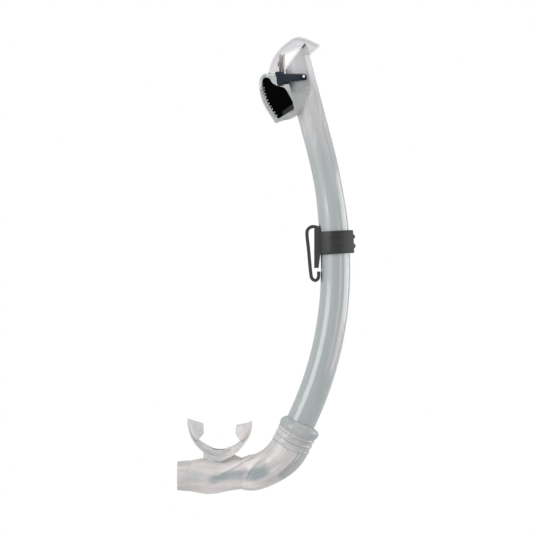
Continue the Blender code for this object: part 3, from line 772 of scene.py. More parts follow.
def make_hood():
    """Thin clear cap with a beak, open at its foot and with a window in each side."""
    outline = hood_outline()
    obj = pillow("hood_shell", outline, HALF, ROUNDING, 6)
    inner = inset(outline, HOOD_WALL)
    for i, p in enumerate(outline):
        if p.y < HOOD_FOOT + 0.25:
            inner[i] = Vector((inner[i].x, HOOD_FOOT - 9.75))  # the room runs out through the foot
    cut(obj, pillow("room", inner, HALF - HOOD_WALL, HOOD_WALL, 5))
    cut(obj, tube_core("bore", 20, 84.5))
    rear = tube_core("rear", 60, 96.5)
    keep = [on_top(50, 3), on_top(50, 20), on_top(98, 20), on_top(98, 3)]
    combine(rear, "INTERSECT", plate("half", keep, -THROUGH, THROUGH))
    cut(obj, rear)
    window = smooth_run([(-25.2, 188.2), (-20.2, 190.5), (-15.5, 192.4), (-10.4, 193.6)], 1.0)
    window += [on_seat(19.2, 0.9), on_seat(-1.0, 0.9), Vector((-24.6, 175.6))]
    cut(obj, plate("window", window, -THROUGH, THROUGH))
    key = [on_seat(20.75, -1.5), on_seat(25.25, -1.5), on_seat(25.25, -0.1), on_seat(20.75, -0.1)]
    cut(obj, plate("slot", key, -THROUGH, THROUGH))
    shade(obj, 35)
    dress(obj, see_through("hood_skin", (0.935, 0.93, 0.935), (0.68, 0.67, 0.68), 0.07, 0.5, 0.10, 3.2))
    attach(obj, "tube")
    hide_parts("hood")


def chamber_outline():
    """Side view of the float chamber, from the front of its rim down and round."""
    front = [(-40.5, CHAMBER_RIM), (-45.0, 168.1), (-47.6, 165.6), (-48.9, 162.3), (-49.2, 158.9),
             (-48.9, 154.2), (-47.9, 149.5), (-46.3, 144.4), (-43.2, 137.7), (-39.0, 131.1),
             (-33.9, 123.4)]
    bottom = [(-33.9, 123.4), (-26.8, 126.0), (-18.3, 128.0), (-11.8, 131.4)]
    back = [(-11.8, 131.4), (-7.2, 141.0), (-0.6, 155.0), (-2.85, CHAMBER_RIM)]
    return join_runs(
        smooth_run(front, OUTLINE_STEP, 2.6),
        smooth_run(bottom, OUTLINE_STEP, 2.6),
        smooth_run(back, 3.0, 3.0),
        [back[-1], (-22.0, CHAMBER_RIM), front[0]],
    )


FRONT_WALL = [(-48.6, 157.5), (-48.7, 153.2), (-47.6, 148.6), (-45.9, 143.6), (-42.9, 137.2),
              (-38.7, 130.6), (-35.4, 125.7)]


def front_ribs():
    """Places and directions of the ribs down the front wall."""
    line = spline(FRONT_WALL, 0.4)
    out = []
    for k in range(RIB_COUNT):
        i = round((k + 0.6) / (RIB_COUNT + 0.2) * (len(line) - 1))
        i = min(max(i, 1), len(line) - 2)
        along = (line[i + 1] - line[i - 1]).normalized()
        out.append((line[i], along, Vector((-along.y, along.x))))
    return out


def window_outline():
    """Opening in each side wall; its front edge is toothed by the ribs."""
    smooth_side = spline([(-44.6, 158.0), (-45.4, 161.0), (-45.3, 163.2), (-44.3, 164.8),
                          (-42.8, 165.2), (-40.2, 164.4), (-38.8, 162.3), (-37.4, 160.1),
                          (-35.0, 158.2), (-32.2, 157.0), (-28.6, 156.2), (-25.4, 154.9),
                          (-23.0, 151.8), (-20.4, 147.2), (-17.3, 141.4)], 0.9)
    low = [(-17.6, 140.6), (-16.4, 136.4), (-17.4, 134.6), (-25.9, 129.6), (-29.8, 127.0), (-31.4, 126.4)]
    teeth = []
    for place, along, inward in front_ribs()[::-1]:
        teeth.append(place + 3.1 * inward + 1.25 * along)
        teeth.append(place + 4.7 * inward + 0.75 * along)
        teeth.append(place + 4.9 * inward - 0.35 * along)
        teeth.append(place + 3.1 * inward - 0.75 * along)
    return smooth_side + [Vector(p) for p in low] + teeth


def shoulder(name, side, depth):
    """Space outside the housing's lower back, where its side slopes down on to the tube."""
    rim = [(-14.0, 21.0), (-14.0, 19.2 - depth), (-9.5, 17.0 - depth), (0.0, 13.4 - depth)]
    rim += [(a, math.sqrt((13.4 - depth) ** 2 - a * a)) for a in (3.0, 6.0, 9.0)]
    rim += [(14.0, 8.0), (14.0, 21.0)]
    rings = []
    for s in (-12.0, 56.0):
        ring = []
        for across, y in rim:
            p = on_top(s, across)
            ring.append((p.x, side * y, p.y))
        rings.append(ring)
    return mesh_object(name, *stack(rings))


def make_chamber():
    """Clear housing of the float, open at its rim, with side windows, grooves and drains."""
    outline = chamber_outline()
    obj = pillow("chamber_shell", outline, HALF, ROUNDING, 6)
    cut(obj, shoulder("front", -1, 0.0), shoulder("back", 1, 0.0))
    inner = inset(outline, CHAMBER_WALL)
    for i, p in enumerate(outline):
        if p.y > CHAMBER_RIM - 0.35:
            inner[i] = Vector((inner[i].x, CHAMBER_RIM + 10.65))  # and here through the rim
    room = pillow("room", inner, HALF - CHAMBER_WALL, 1.0, 4)
    cut(room, shoulder("front", -1, 1.5), shoulder("back", 1, 1.5))
    cut(obj, room)
    cut(obj, tube_core("bore", 0, 84))
    cut(obj, plate("window", window_outline(), -THROUGH, THROUGH))
    eye = [(-9.6, 163.2), (-5.2, 163.2), (-5.2, 168.1), (-9.6, 168.1)]
    cut(obj, plate("eye", eye, -THROUGH, THROUGH))
    cut(obj, peg("pin", *FLOAT_PIVOT, 1.1, -THROUGH, THROUGH))
    drain = [(-34.5, 121.0), (-20.5, 124.6), (-21.5, 129.6), (-35.0, 126.0)]
    for y in (-7.5, 0.0, 7.5):
        cut(obj, plate("drain", drain, y - 2.2, y + 2.2))
    for place, along, inward in front_ribs():
        groove = [place + 0.75 * inward + 0.6 * along, place + 3.0 * inward + 0.6 * along]
        groove += [place + 3.0 * inward - 0.6 * along, place + 0.75 * inward - 0.6 * along]
        groove = [p + 1.3 * along for p in groove]
        cut(obj, plate("groove", groove, -13.0, 13.0))
    shade(obj, 35)
    veil = (0.148, 0.157, 0.40, (0.80, 0.815, 0.805))
    tint = (0.84, 0.855, 0.85)
    dress(obj, see_through("chamber_skin", tint, (0.68, 0.70, 0.685), 0.015, 0.6, 0.12, 3.0, veil))
    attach(obj, "tube")
    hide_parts("float_chamber")
    make_ribs()


def make_ribs():
    """Raised bars over the front edge of each side wall."""
    paint = see_through("rib_skin", (0.84, 0.86, 0.86), (0.30, 0.32, 0.32), 0.4, 0.7, 0.2)
    for k, (place, along, inward) in enumerate(front_ribs()):
        for name, side in (("front", -1), ("back", 1)):
            bar = [place + 0.7 * inward + 0.5 * along, place + 4.6 * inward + 0.5 * along]
            bar += [place + 4.8 * inward - 0.3 * along, place + 0.7 * inward - 0.5 * along]
            obj = pillow(f"rib_{name}_{k}", bar, 0.5, 0.2, 2, side * (HALF - 0.35))
            shade(obj, 40)
            dress(obj, paint)
            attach(obj, "tube")


# ------------------------------------------------------------------ valve


def float_curve():
    """Upper outline of the float, from the front over its lobe and down its back."""
    return spline([(-44.9, 150.6), (-46.3, 156.1), (-46.4, 159.8), (-45.9, 162.6), (-44.7, 164.6),
                   (-43.0, 165.1), (-39.7, 164.4), (-38.5, 162.6), (-37.1, 160.4), (-34.8, 158.6),
                   (-32.1, 157.4), (-28.6, 156.5), (-25.4, 155.2), (-22.9, 152.0), (-20.2, 147.1),
                   (-17.4, 141.6)], 0.8)


def clear_tube(obj):
    """Hollows a swinging piece so that it passes the tube."""
    for deg in (0.0, 4.0, 8.0, 12.0, FLOAT_DEG):
        path = turned([on_top(-10, 0), on_top(80, 0)], FLOAT_PIVOT, -deg)
        tan = (path[1] - path[0]).normalized()
        cut(obj, rod("clear", path, [R_TOP + 0.45] * 2, 96, [tan] * 2))
    return obj


def make_float():
    """Black foam float, hollowed for the tube."""
    low = [(-28.4, 133.5), (-27.1, 129.5), (-30.8, 127.4), (-33.4, 129.3), (-37.1, 134.4),
           (-40.9, 141.9)]
    outline = float_curve() + [Vector(p) for p in low]
    obj = pillow("float_foam", outline, 14.6, 1.2, 4)
    clear_tube(obj)
    shade(obj, 35)
    dark = (0.0006, 0.0005, 0.0005)
    dress(obj, moulded("float_skin", dark, (0.0014, 0.0012, 0.0012), 0.8, 700.0, 0.0001, 0.03))
    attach(obj, "float")
    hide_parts("float_body")


def make_arm():
    """Hinge piece of the float, ribbed on its sides."""
    outline = [(-28.2, 133.2), (-17.7, 140.4), (-15.9, 136.6), (-15.75, 134.4), (-17.0, 132.8),
               (-19.5, 132.7), (-26.9, 129.3)]
    obj = plate("float_hinge", outline, -12.0, 12.0)
    clear_tube(obj)
    for k in range(7):
        x = -27.0 + 1.35 * k
        base = Vector((x, 130.6 + 0.55 * k))
        corners = [(0.0, 0.0), (0.55, 0.25), (-0.6, 4.2), (-1.15, 3.95)]
        groove = [base + Vector(corner) for corner in corners]
        for ends in ((-14.0, -11.2), (11.2, 14.0)):
            cut(obj, plate("groove", groove, *ends))
    cut(obj, peg("bore", *FLOAT_PIVOT, 1.08, -THROUGH, THROUGH))
    bevel(obj, 0.25)
    shade(obj)
    dress(obj, moulded("hinge_skin", (0.030, 0.026, 0.026), (0.052, 0.046, 0.045), 0.5))
    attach(obj, "float")
    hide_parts("float_arm")


def make_lever():
    """Fork that straddles the tube, with a tongue that carries the seal."""
    head = [(-34.3, 170.1), (-28.6, 171.0), (-26.7, 168.9), (-26.0, 168.4), (-26.0, 159.6),
            (-26.9, 158.9), (-31.2, 158.9), (-32.6, 161.2), (-32.9, 166.5)]
    obj = plate("lever_fork", head, -15.1, 15.1)
    arm = [(-27.5, 168.5), (-6.2, 167.9), (-4.9, 167.2), (-4.7, 163.4), (-5.7, 162.6), (-27.5, 160.0)]
    for ends in ((-15.1, -13.2), (13.2, 15.1)):
        fuse(obj, plate("arm", arm, *ends))
    tongue = [(-30.4, 186.2), (-30.0, 187.0), (-28.5, 187.0), (-28.1, 186.2), (-28.1, 168.0), (-30.4, 168.0)]
    fuse(obj, plate("tongue", tongue, -8.5, 8.5))
    cut(obj, peg("bore", *LEVER_PIVOT, 1.28, -THROUGH, THROUGH))
    hole = [Vector((-32.0, SEAL_Z)), Vector((-27.0, SEAL_Z))]
    cut(obj, rod("hole", hole, [1.9, 1.9], 40, [unit(0)] * 2))
    bevel(obj, 0.35, 3)
    shade(obj)
    slate = ((0.0020, 0.0110, 0.0270), (0.0030, 0.0150, 0.0350))
    p = moulded("lever_skin", *slate, 0.5, spec=0.15)
    height = p.levels(p.axis("Z"), 0.1705, 0.1860, 0.0, 1.0)
    dark = p.ramp(p.noise(55.0, 4.0), (0.3, slate[0]), (0.7, slate[1]))
    p.set(Base_Color=p.mix(height, dark, (0.42, 0.45, 0.49)))
    dress(obj, p)
    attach(obj, "lever")
    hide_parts("valve_lever")


def make_seal():
    """Soft seal: a disc with a domed back, on a stem through the tongue."""
    face = LEVER_PIVOT[0] - SEAT_DISTANCE - 0.06
    rows = [(-0.3, 0.05), (-0.25, 5.6), (0.0, 7.4), (0.0, 9.0), (-0.15, 9.3), (-0.4, 9.45), (-0.9, 9.2),
            (-1.5, 8.4), (-2.0, 7.0), (-2.3, 5.0), (-2.38, 3.6), (-2.4, 2.2), (-2.42, 1.7), (-5.35, 1.7),
            (-5.45, 2.8), (-5.95, 2.9), (-6.65, 1.6), (-6.85, 0.05)]
    path = [Vector((face + s, SEAL_Z)) for s, _ in rows]
    obj = rod("seal_flap", path, [r for _, r in rows], 80, [unit(0)] * len(path))
    shade(obj, 50)
    dress(obj, moulded("seal_skin", (0.78, 0.63, 0.45), (0.88, 0.74, 0.56), 0.5))
    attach(obj, "lever")
    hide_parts("seal_pad")


# ------------------------------------------------------------------ keeper


def make_keeper():
    """Rubber band round the tube with two studs at the back and the strap's hook in front."""
    deg = 3.24  # place of the band round the upper arc
    mid = UPPER_CENTRE + R_UPPER * unit(deg)
    up = unit(90 + deg)
    out = unit(deg)
    touch = 57.9
    turn = [touch + (360 - 2 * touch) * k / 88 for k in range(89)]
    section = [16.3 * unit(a) for a in turn]
    section += [Vector((16.9, -8.65)), Vector((17.5, -8.1)), Vector((17.6, -7.4)), Vector((17.6, 7.4)),
                Vector((17.5, 8.1)), Vector((16.9, 8.65))]
    rings = []
    for along, less in ((-10.8, 0.7), (-10.7, 0.35), (-10.4, 0.1), (-9.8, 0.0), (-5.0, -0.12), (0.0, -0.16),
                        (5.0, -0.12), (9.8, 0.0), (10.4, 0.1), (10.7, 0.35), (10.8, 0.7)):
        ring = []
        for q in inset(section, less):
            p = mid + q.x * out + along * up
            ring.append((p.x, q.y, p.y))
        rings.append(ring)
    body = mesh_object("keeper_clip", *stack(rings))
    for along in (-4.2, 4.6):
        at = mid + 17.2 * out + along * up
        path = [at, at + 1.0 * out, at + 1.5 * out, at + 1.9 * out, at + 2.15 * out]
        fuse(body, rod("stud", path, [2.1, 2.05, 1.8, 1.3, 0.5], 32, [out] * 5))
    bar = [(2.6, -13.2), (6.6, -13.2), (8.2, -0.5), (10.5, 20.9), (7.0, 26.3), (4.0, 26.0), (2.6, 23.0)]
    fuse(body, plate("bar", bar, -7.0, 7.0))
    line = [(5.5, 24.9), (2.8, 25.6), (0.3, 25.6), (-2.2, 24.4), (-4.0, 22.0), (-4.3, 18.8),
            (-2.9, 5.0), (-0.4, -20.4), (0.2, -22.6), (1.8, -24.3), (4.0, -24.8),
            (5.7, -23.6), (6.6, -21.6), (6.75, -16.4)]
    fuse(body, plate("hook", ribbon(spline(line, 0.9), 1.5), -7.0, 7.0))
    turns = [-0.4 + 7.4 * k / 16 for k in range(17)]
    path = [UPPER_CENTRE + R_UPPER * unit(a) for a in turns]
    cut(body, rod("bore", path, [R_LOW + 0.4] * 17, 128, [unit(90 + a) for a in turns]))
    shade(body, 38)
    p = moulded("keeper_skin", (0.014, 0.014, 0.014), (0.024, 0.024, 0.024), 0.40, 900.0, 0.00008, 0.5)
    lines = p.noise(500.0, 3.0, 0.6, (0.06, 0.06, 1))
    # Painted highlights: lighter blue-grey towards both sides of the keeper, darker in the middle.
    side_highlights = p.ramp(p.axis("X"), (0.0105, (0.030, 0.034, 0.038)), (0.0190, (0.012, 0.012, 0.012)),
                   (0.0270, (0.014, 0.014, 0.014)), (0.0370, (0.036, 0.040, 0.044)))
    p.set(Base_Color=p.mix(p.levels(lines, 0.35, 0.65, 0.0, 0.45), side_highlights, (0.036, 0.036, 0.036)))
    p.bump((p.noise(900.0, 2.0), 0.2, 0.00004), (lines, 0.4, 0.0001))
    dress(body, p)
    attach(body, "keeper")
    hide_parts("keeper")


# ------------------------------------------------------------------ silicone lower end


# distance down the cuff, outer radius, inner radius
CUFF = [(-1.0, 14.7, 14.3), (-0.7, 15.2, 14.3), (0.0, 16.0, 14.3), (0.8, 16.7, 16.1), (1.8, 17.4, 16.4),
        (3.0, 17.9, 16.65), (4.2, 18.1, 16.65), (5.4, 18.0, 16.65), (6.6, 17.7, 16.1), (7.8, 17.3, 16.1),
        (8.8, 17.0, 16.1), (9.5, 17.2, 16.1), (10.1, 17.85, 16.1), (10.6, 17.9, 16.1), (11.1, 17.3, 16.1),
        (11.7, 16.85, 16.1), (12.8, 16.85, 16.1), (14.2, 17.0, 16.1), (15.0, 17.2, 16.1), (15.6, 17.8, 16.1),
        (16.1, 17.8, 16.1), (16.7, 17.15, 16.1), (17.4, 16.85, 16.1), (19.0, 16.95, 16.1), (20.4, 17.1, 16.1),
        (21.2, 17.5, 13.4), (21.8, 17.8, 13.4), (22.4, 17.3, 13.4), (23.0, 17.0, 13.4), (23.6, 17.1, 13.4)]


def elbow_line(count):
    """Centre line of the bend, from the end of the cuff to the purge chamber."""
    p0 = END_START + END_AXIS * CUFF_LENGTH
    p3 = Vector(ELBOW_END) + Vector((5.3, 0.0))
    p1 = p0 + 13.5 * END_AXIS
    p2 = p3 + Vector((15.0, 0.0))
    out = []
    for i in range(count):
        t = i / (count - 1)
        s = 1 - t
        out.append(s**3 * p0 + 3 * s * s * t * p1 + 3 * s * t * t * p2 + t**3 * p3)
    return out


def resample(rows, count, span):
    """Linear values of each column at even places over span; the first column is the place."""
    table = np.array(rows)
    places = np.linspace(span[0], span[1], count)
    return places, [np.interp(places, table[:, 0], table[:, k]) for k in range(1, table.shape[1])]


def softened(values, rounds):
    """Values averaged with their neighbours a number of times; the ends stay."""
    values = np.array(values, dtype=float)
    for _ in range(rounds):
        values[1:-1] = 0.25 * values[:-2] + 0.5 * values[1:-1] + 0.25 * values[2:]
    return values


def seam_swell(angles, amount):
    """The two silicone bodies meet in a notch below and above, and flow together at the sides."""
    return amount * np.sin(angles) ** 2


def make_elbow():
    """Ringed cuff round the tube's end and the bend below it."""
    places, (outer, inner) = resample(CUFF, 124, (-1.0, 23.6))
    stations = []
    for s, r, q in zip(places, softened(outer, 2), inner):
        stations.append((END_START + END_AXIS * s, END_AXIS, r, q))
    count = 120
    bend = elbow_line(count)
    shape = [17.1, 17.0, 16.9, 16.7, 16.5, 16.4, 16.4, 16.6, 16.8, 16.7, 15.9]
    inside = [13.4, 13.6, 13.8, 13.8, 13.8, 13.8, 13.8, 13.6, 13.2, 12.8, 12.3]
    t = np.linspace(0, 10, count)
    outer = softened(np.interp(t, range(11), shape), 16)
    inner = np.interp(t, range(11), inside)
    tans = line_tangents(bend)
    tans[0] = END_AXIS
    tans[-1] = Vector((-1.0, 0.0))
    for k in range(1, count):
        stations.append((bend[k], tans[k], outer[k], inner[k]))
    end = Vector(ELBOW_END)
    last = len(stations)
    for k in range(1, 11):
        f = k / 10
        stations.append((bend[-1].lerp(end, f), Vector((-1.0, 0.0)), 15.9 - 1.3 * f**1.8, 12.3))

    def swell(i, angles):
        full = 2.0 + 1.1 * math.exp(-((i / 30.0) ** 2))
        full *= float(smooth((i + 14) / 30) * smooth((last - 20 - i) / 75))
        seam = 1.5 * max(0.0, (i - last + 1) / 10) ** 1.8
        return seam_swell(angles, seam) + full * (0.5 + 0.5 * np.cos(angles)) ** 1.5

    obj = pipe("elbow_skin", stations, 240, swell)
    sag_rings(obj)
    dress_lower(obj, "elbow_silicone_skin")
    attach(obj, "lower_end")
    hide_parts("elbow")


def sag_rings(obj):
    """Draws the cuff's rings down a little at the front and the back."""
    points = points_of(obj)
    axis = np.array(tuple(END_AXIS))
    along = (points[:, [0, 2]] - np.array(tuple(END_START))) @ axis
    amount = smooth((along + 1) / 7) * smooth((34 - along) / 10) * RING_DROP * (points[:, 1] / 17.0) ** 2
    points[:, [0, 2]] += amount[:, None] * axis
    place_points(obj, points)


FOLDS = {
    "crease": [(-62.0, -211.0), (-59.6, -206.4), (-56.4, -201.2), (-52.6, -196.4), (-47.5, -192.6),
               (-40.9, -189.6)],
    "saddle": [(-87.0, -205.4), (-81.0, -203.9), (-74.7, -201.0), (-68.0, -197.2), (-61.0, -193.0),
               (-53.1, -188.8)],
    "outer_1": [(-5.6, -181.8), (-11.6, -190.6), (-19.4, -198.6), (-26.4, -204.6), (-32.4, -209.4)],
    "outer_2": [(-9.4, -183.4), (-15.6, -191.8), (-22.6, -199.2), (-28.4, -204.8), (-32.6, -209.0)],
    "band": [(-100.0, -212.0), (-90.0, -210.8), (-82.0, -208.6), (-74.0, -207.4), (-65.0, -206.8),
             (-55.0, -206.3), (-46.0, -204.5), (-38.0, -199.5)],
}


def line_masks(points):
    """Distances to the folds of the silicone and their fades, by name."""
    out = {}
    for name, line in FOLDS.items():
        d, share = line_distance(points, spline(line, 1.2))
        out[name] = (d, smooth(share / 0.15) * smooth((1 - share) / 0.15))
    return out


def ridge(distance, width):
    """1 on a line, falling off smoothly to both sides."""
    return np.exp(-((distance / width) ** 2))


def lower_path():
    """Middle line of the bend and the body."""
    return elbow_line(24) + [Vector((x, -208.0)) for x in np.linspace(-66, -126, 24)]


def outside(points, normals):
    """1 on outer walls, 0 on inner ones, by whether the normal leads away from the middle line."""
    line = np.array([tuple(p) for p in [END_START] + lower_path()])
    p = points[:, [0, 2]]
    near = np.argmin(((p[:, None, :] - line[None]) ** 2).sum(2), axis=1)
    away = np.stack([p[:, 0] - line[near, 0], points[:, 1], p[:, 1] - line[near, 1]], 1)
    return ((away * normals).sum(1) > 0).astype(float)


def relief(points, normals):
    """Folds and dents of the silicone, in mm along the normal."""
    lines = line_masks(points)
    total = np.zeros(len(points))
    d, fade = lines["crease"]
    total += fade * np.where(d > 0, 0.35 * ridge(d, 3.0), -0.75 * np.exp(-np.abs(d) / 3.5) * smooth(-d / 0.5))
    d, fade = lines["saddle"]
    total += fade * (0.7 * ridge(d - 1.3, 1.4) - 0.6 * ridge(d + 0.5, 0.8))
    d, fade = lines["outer_1"]
    total -= 0.7 * fade * ridge(d, 0.6)
    d, fade = lines["outer_2"]
    total -= 0.6 * fade * ridge(d, 0.55)
    d, fade = lines["band"]
    total -= 0.9 * fade * ridge(d, 3.6)
    total -= 0.25 * ridge(points[:, 0] + 114.6, 0.6)
    return total * outside(points, normals)


# painted highlights and painted shade on the silicone: middle x and z, half width, half height, and how much
# paler (a painted highlight, or, below 0, deeper: painted shade)
LIGHT_PATCHES = ((-18.5, -173.5, 9.0, 7.0, -0.45), (-55.0, -217.0, 16.0, 5.0, 0.45),
           (-74.0, -193.5, 17.0, 6.0, 0.7), (-100.0, -194.0, 10.0, 4.0, 0.25),
           (-94.0, -221.0, 16.0, 5.0, 0.5), (-76.0, -214.0, 12.0, 3.5, 0.35),
           (-112.0, -207.5, 12.0, 4.5, -0.38), (-121.0, -195.0, 7.0, 4.0, -0.3))


def silicone_light_and_shade(points):
    """Painted light and shade on the silicone: deeper colour as painted shade in its folds, creases, ring
    grooves and a band along the body, paler as painted highlights, and cool over the tube's end.
    """
    lines = line_masks(points)
    tone = np.full(len(points), 0.22)
    x = points[:, 0]
    # Painted shade: a deep band along the lower body.
    d, fade = lines["band"]
    wide = 2.7 + 1.1 * smooth((x + 92.0) / 40.0) + 0.35 * np.sin(0.31 * x) + 0.15 * np.sin(0.83 * x + 1.0)
    tone += 0.60 * fade * smooth((1.9 - np.abs(d) / wide) / 1.3)
    # Painted shade below the crease, painted highlight just beside it.
    d, fade = lines["crease"]
    below = smooth((-191.0 - points[:, 2]) / 7.0)
    tone += 0.46 * below * np.sqrt(fade) * smooth(-d / 0.6) * np.exp(-np.abs(d) / 8.0)
    tone -= 0.25 * fade * ridge(d - 2.5, 2.5)
    # Painted shade beyond the outer crease and in both outer creases.
    d, fade = lines["outer_1"]
    tone += 0.75 * np.sqrt(fade) * smooth(d / 0.8)
    for name in ("outer_1", "outer_2"):
        d, fade = lines[name]
        tone += 0.9 * fade * ridge(d, 0.6)
    # Painted shadow under the saddle fold, painted highlight above it.
    d, fade = lines["saddle"]
    tone += 0.55 * fade * ridge(d + 0.5, 0.6) - 0.25 * fade * ridge(d - 1.5, 1.5)
    # Painted highlights and painted shade in patches.
    for cx, cz, rx, rz, amount in LIGHT_PATCHES:
        tone -= amount * ridge(np.hypot((x - cx) / rx, (points[:, 2] - cz) / rz), 1.0)
    # Cool over the tube's end, where the tube shows through the cuff; painted shade on its right side and in
    # the grooves between the rings, painted highlights on the ring crests.
    rel = points[:, [0, 2]] - np.array(tuple(END_START))
    across = rel @ np.array((-END_AXIS.y, END_AXIS.x))
    along = rel @ np.array(tuple(END_AXIS))
    along = along - smooth((along + 1) / 7) * RING_DROP * (points[:, 1] / 17.0) ** 2
    near_tube = x > -45
    tone += 0.75 * near_tube * smooth((9.8 - along) / 1.6)
    tone += 0.55 * near_tube * smooth((across - 1.0) / 9.0) * smooth((27.0 - along) / 6.0)
    for place in (11.8, 17.2, 23.0):
        tone += 0.40 * near_tube * ridge(along - place, 0.7)
    for place in (10.3, 15.8, 21.8):
        tone -= 0.15 * near_tube * ridge(along - place, 0.5)
    return np.clip(tone, -0.5, 1.0)


def flow_lower(points):
    """Noise coordinates drawn out along the bend and the body, so that streaks follow them."""
    line = np.array([tuple(p) for p in [END_START, END_START + END_AXIS * 12.0] + lower_path()])
    length = np.concatenate([[0.0], np.cumsum(np.linalg.norm(np.diff(line, axis=0), axis=1))])
    step = np.gradient(line, axis=0)
    step /= np.linalg.norm(step, axis=1, keepdims=True)
    p = points[:, [0, 2]]
    near = np.argmin(((p[:, None, :] - line[None]) ** 2).sum(2), axis=1)
    rel = p - line[near]
    along = length[near] + (rel * step[near]).sum(1)
    across = step[near, 0] * rel[:, 1] - step[near, 1] * rel[:, 0]
    return np.stack([0.035 * along, 0.22 * across, 0.22 * points[:, 1]], 1)


def flow_mouth(points):
    """Noise coordinates drawn out round the lip guard."""
    rel = points[:, [0, 2]] - np.array(MOUTH)
    radius = np.hypot(rel[:, 0], rel[:, 1])
    turn = np.arctan2(rel[:, 0], -rel[:, 1])
    return np.stack([1.3 * turn + 9.0, 0.22 * radius, 0.22 * points[:, 1]], 1)


def add_flow(obj, function):
    """Stores noise coordinates per vertex for the paint."""
    layer = obj.data.attributes.new("flow", "FLOAT_VECTOR", "POINT")
    layer.data.foreach_set("vector", function(points_of(obj)).astype(np.float32).ravel())


def add_tone(obj, function):
    """Stores a value per vertex for the paint."""
    layer = obj.data.attributes.new("tone", "FLOAT", "POINT")
    layer.data.foreach_set("value", function(points_of(obj)).astype(np.float32))


def dress_lower(obj, name):
    """Folds and paint of the two silicone bodies."""
    push(obj, relief, ELBOW_END[0])
    shade(obj, 55)
    add_tone(obj, silicone_light_and_shade)
    add_flow(obj, flow_lower)
    dress(obj, silicone_paint(name, (0.635, 0.60, 0.588), (0.34, 0.39, 0.395)))


# stations along the purge chamber: x, z, outer and inner radius
PURGE_ROWS = [(-65.82, -206.3, 14.6, 12.3), (-70.0, -206.3, 15.2, 12.3), (-76.0, -206.3, 16.0, 12.3),
              (-83.0, -207.0, 16.6, 12.9), (-88.0, -208.0, 17.0, 14.8), (-98.0, PURGE_Z, 17.2, 15.0),
              (-104.0, PURGE_Z, 16.4, 14.2), (-110.6, PURGE_Z, 15.0, 12.8),
              (-113.4, PURGE_Z, 14.6, 11.25), (END_X, PURGE_Z, 13.6, 11.25)]


def purge_stations(count):
    """Even stations down the purge chamber, smoothed between the rows."""
    table = np.array(PURGE_ROWS)
    x = np.linspace(table[0, 0], table[-1, 0], count)
    z = softened(np.interp(-x, -table[:, 0], table[:, 1]), 12)
    outer = softened(np.interp(-x, -table[:, 0], table[:, 2]), 24)
    inner = np.interp(-x, -table[:, 0], table[:, 3])
    left = Vector((-1.0, 0.0))
    return [(Vector((a, b)), left, r, q) for a, b, r, q in zip(x, z, outer, inner)]


def make_purge():
    """Silicone body with a spigot for the mouthpiece."""
    count = 150

    def swell(i, angles):
        return seam_swell(angles, 1.5 * float(smooth(1 - i / (count * 0.3))))

    obj = pipe("purge_skin", purge_stations(count), 240, swell)
    cut(obj, oval("throat", *THROAT, -204.0, -180.0))
    spigot = oval("spigot", NECK_X, 11.0, 8.6, -194.0, -186.8)
    cut(spigot, oval("throat", *THROAT, -204.0, -180.0))
    fuse(obj, spigot)
    dress_lower(obj, "purge_silicone_skin")
    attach(obj, "lower_end")
    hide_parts("purge_chamber")


def flange():
    """The lip guard: a half ring, high along Y, its edges bent down over the neck."""
    across = np.sin(np.linspace(-math.pi / 2, math.pi / 2, 33))
    rings = []
    for i in range(121):
        deg = -FLANGE_DEG + 2 * FLANGE_DEG * i / 120
        end = math.sqrt((deg / FLANGE_DEG) ** 2 + 0.0004)
        high = 15.0 - 8.0 * min(end, 1.0) ** 3
        droop = 0.8 + 9.2 * (1 - min(end, 1.0)) ** 2
        direction = unit(-90 + deg)
        low = []
        top = []
        for k in across:
            round_off = math.sqrt(max(1 - abs(k) ** 16, 0.0))
            thin = (1.0 - 0.42 * k * k) * (0.5 + 0.5 * round_off)
            base = FLANGE_R + droop * k * k
            p = Vector(MOUTH) + float(base + 0.5 * FLANGE_T * (1 - thin)) * direction
            q = Vector(MOUTH) + float(base + 0.5 * FLANGE_T * (1 + thin)) * direction
            low.append((p.x, high * float(k), p.y))
            top.append((q.x, high * float(k), q.y))
        rings.append(low + top[::-1])
    return mesh_object("mouth_skin", *stack(rings))


def mouth_light_and_shade(points):
    """Painted light and shade on the mouthpiece: painted shade in the bend of the lip guard and at the root
    of the neck, and painted light on the web right of the neck, where the lip guard shades it.
    """
    rel = points[:, [0, 2]] - np.array(MOUTH)
    radius = np.hypot(rel[:, 0], rel[:, 1])
    deg = np.degrees(np.arctan2(rel[:, 0], -rel[:, 1]))
    # Painted shade at the root of the neck.
    tone = 0.22 + 0.35 * ridge(points[:, 2] + 193.0, 3.5) * smooth((-74.0 - points[:, 0]) / 4.0)
    # Painted light on the web right of the neck, under the lip guard.
    tone -= 0.2 * smooth((points[:, 0] + 76.0) / 3.0) * smooth((-184.0 - points[:, 2]) / 3.0)
    # Painted shade in the bend of the lip guard.
    tone += 0.5 * ridge(radius - 30.5 - 3.0 * np.exp(-((deg / 40) ** 2)), 1.2) * ridge(deg, 45.0)
    return np.clip(tone, 0.0, 1.0)


def thicken(obj):
    """Makes a bite tab as high along Y as the lip guard where the two meet."""
    points = points_of(obj)
    rel = points[:, [0, 2]] - np.array(MOUTH)
    radius = np.hypot(rel[:, 0], rel[:, 1])
    end = np.clip(np.abs(np.degrees(np.arctan2(rel[:, 0], -rel[:, 1]))) / FLANGE_DEG, 0.0, 1.0)
    points[:, 1] *= 1.0 + (8.0 - 8.0 * end**3) / 7.0 * smooth((radius - 15.0) / 12.0)
    return place_points(obj, points)


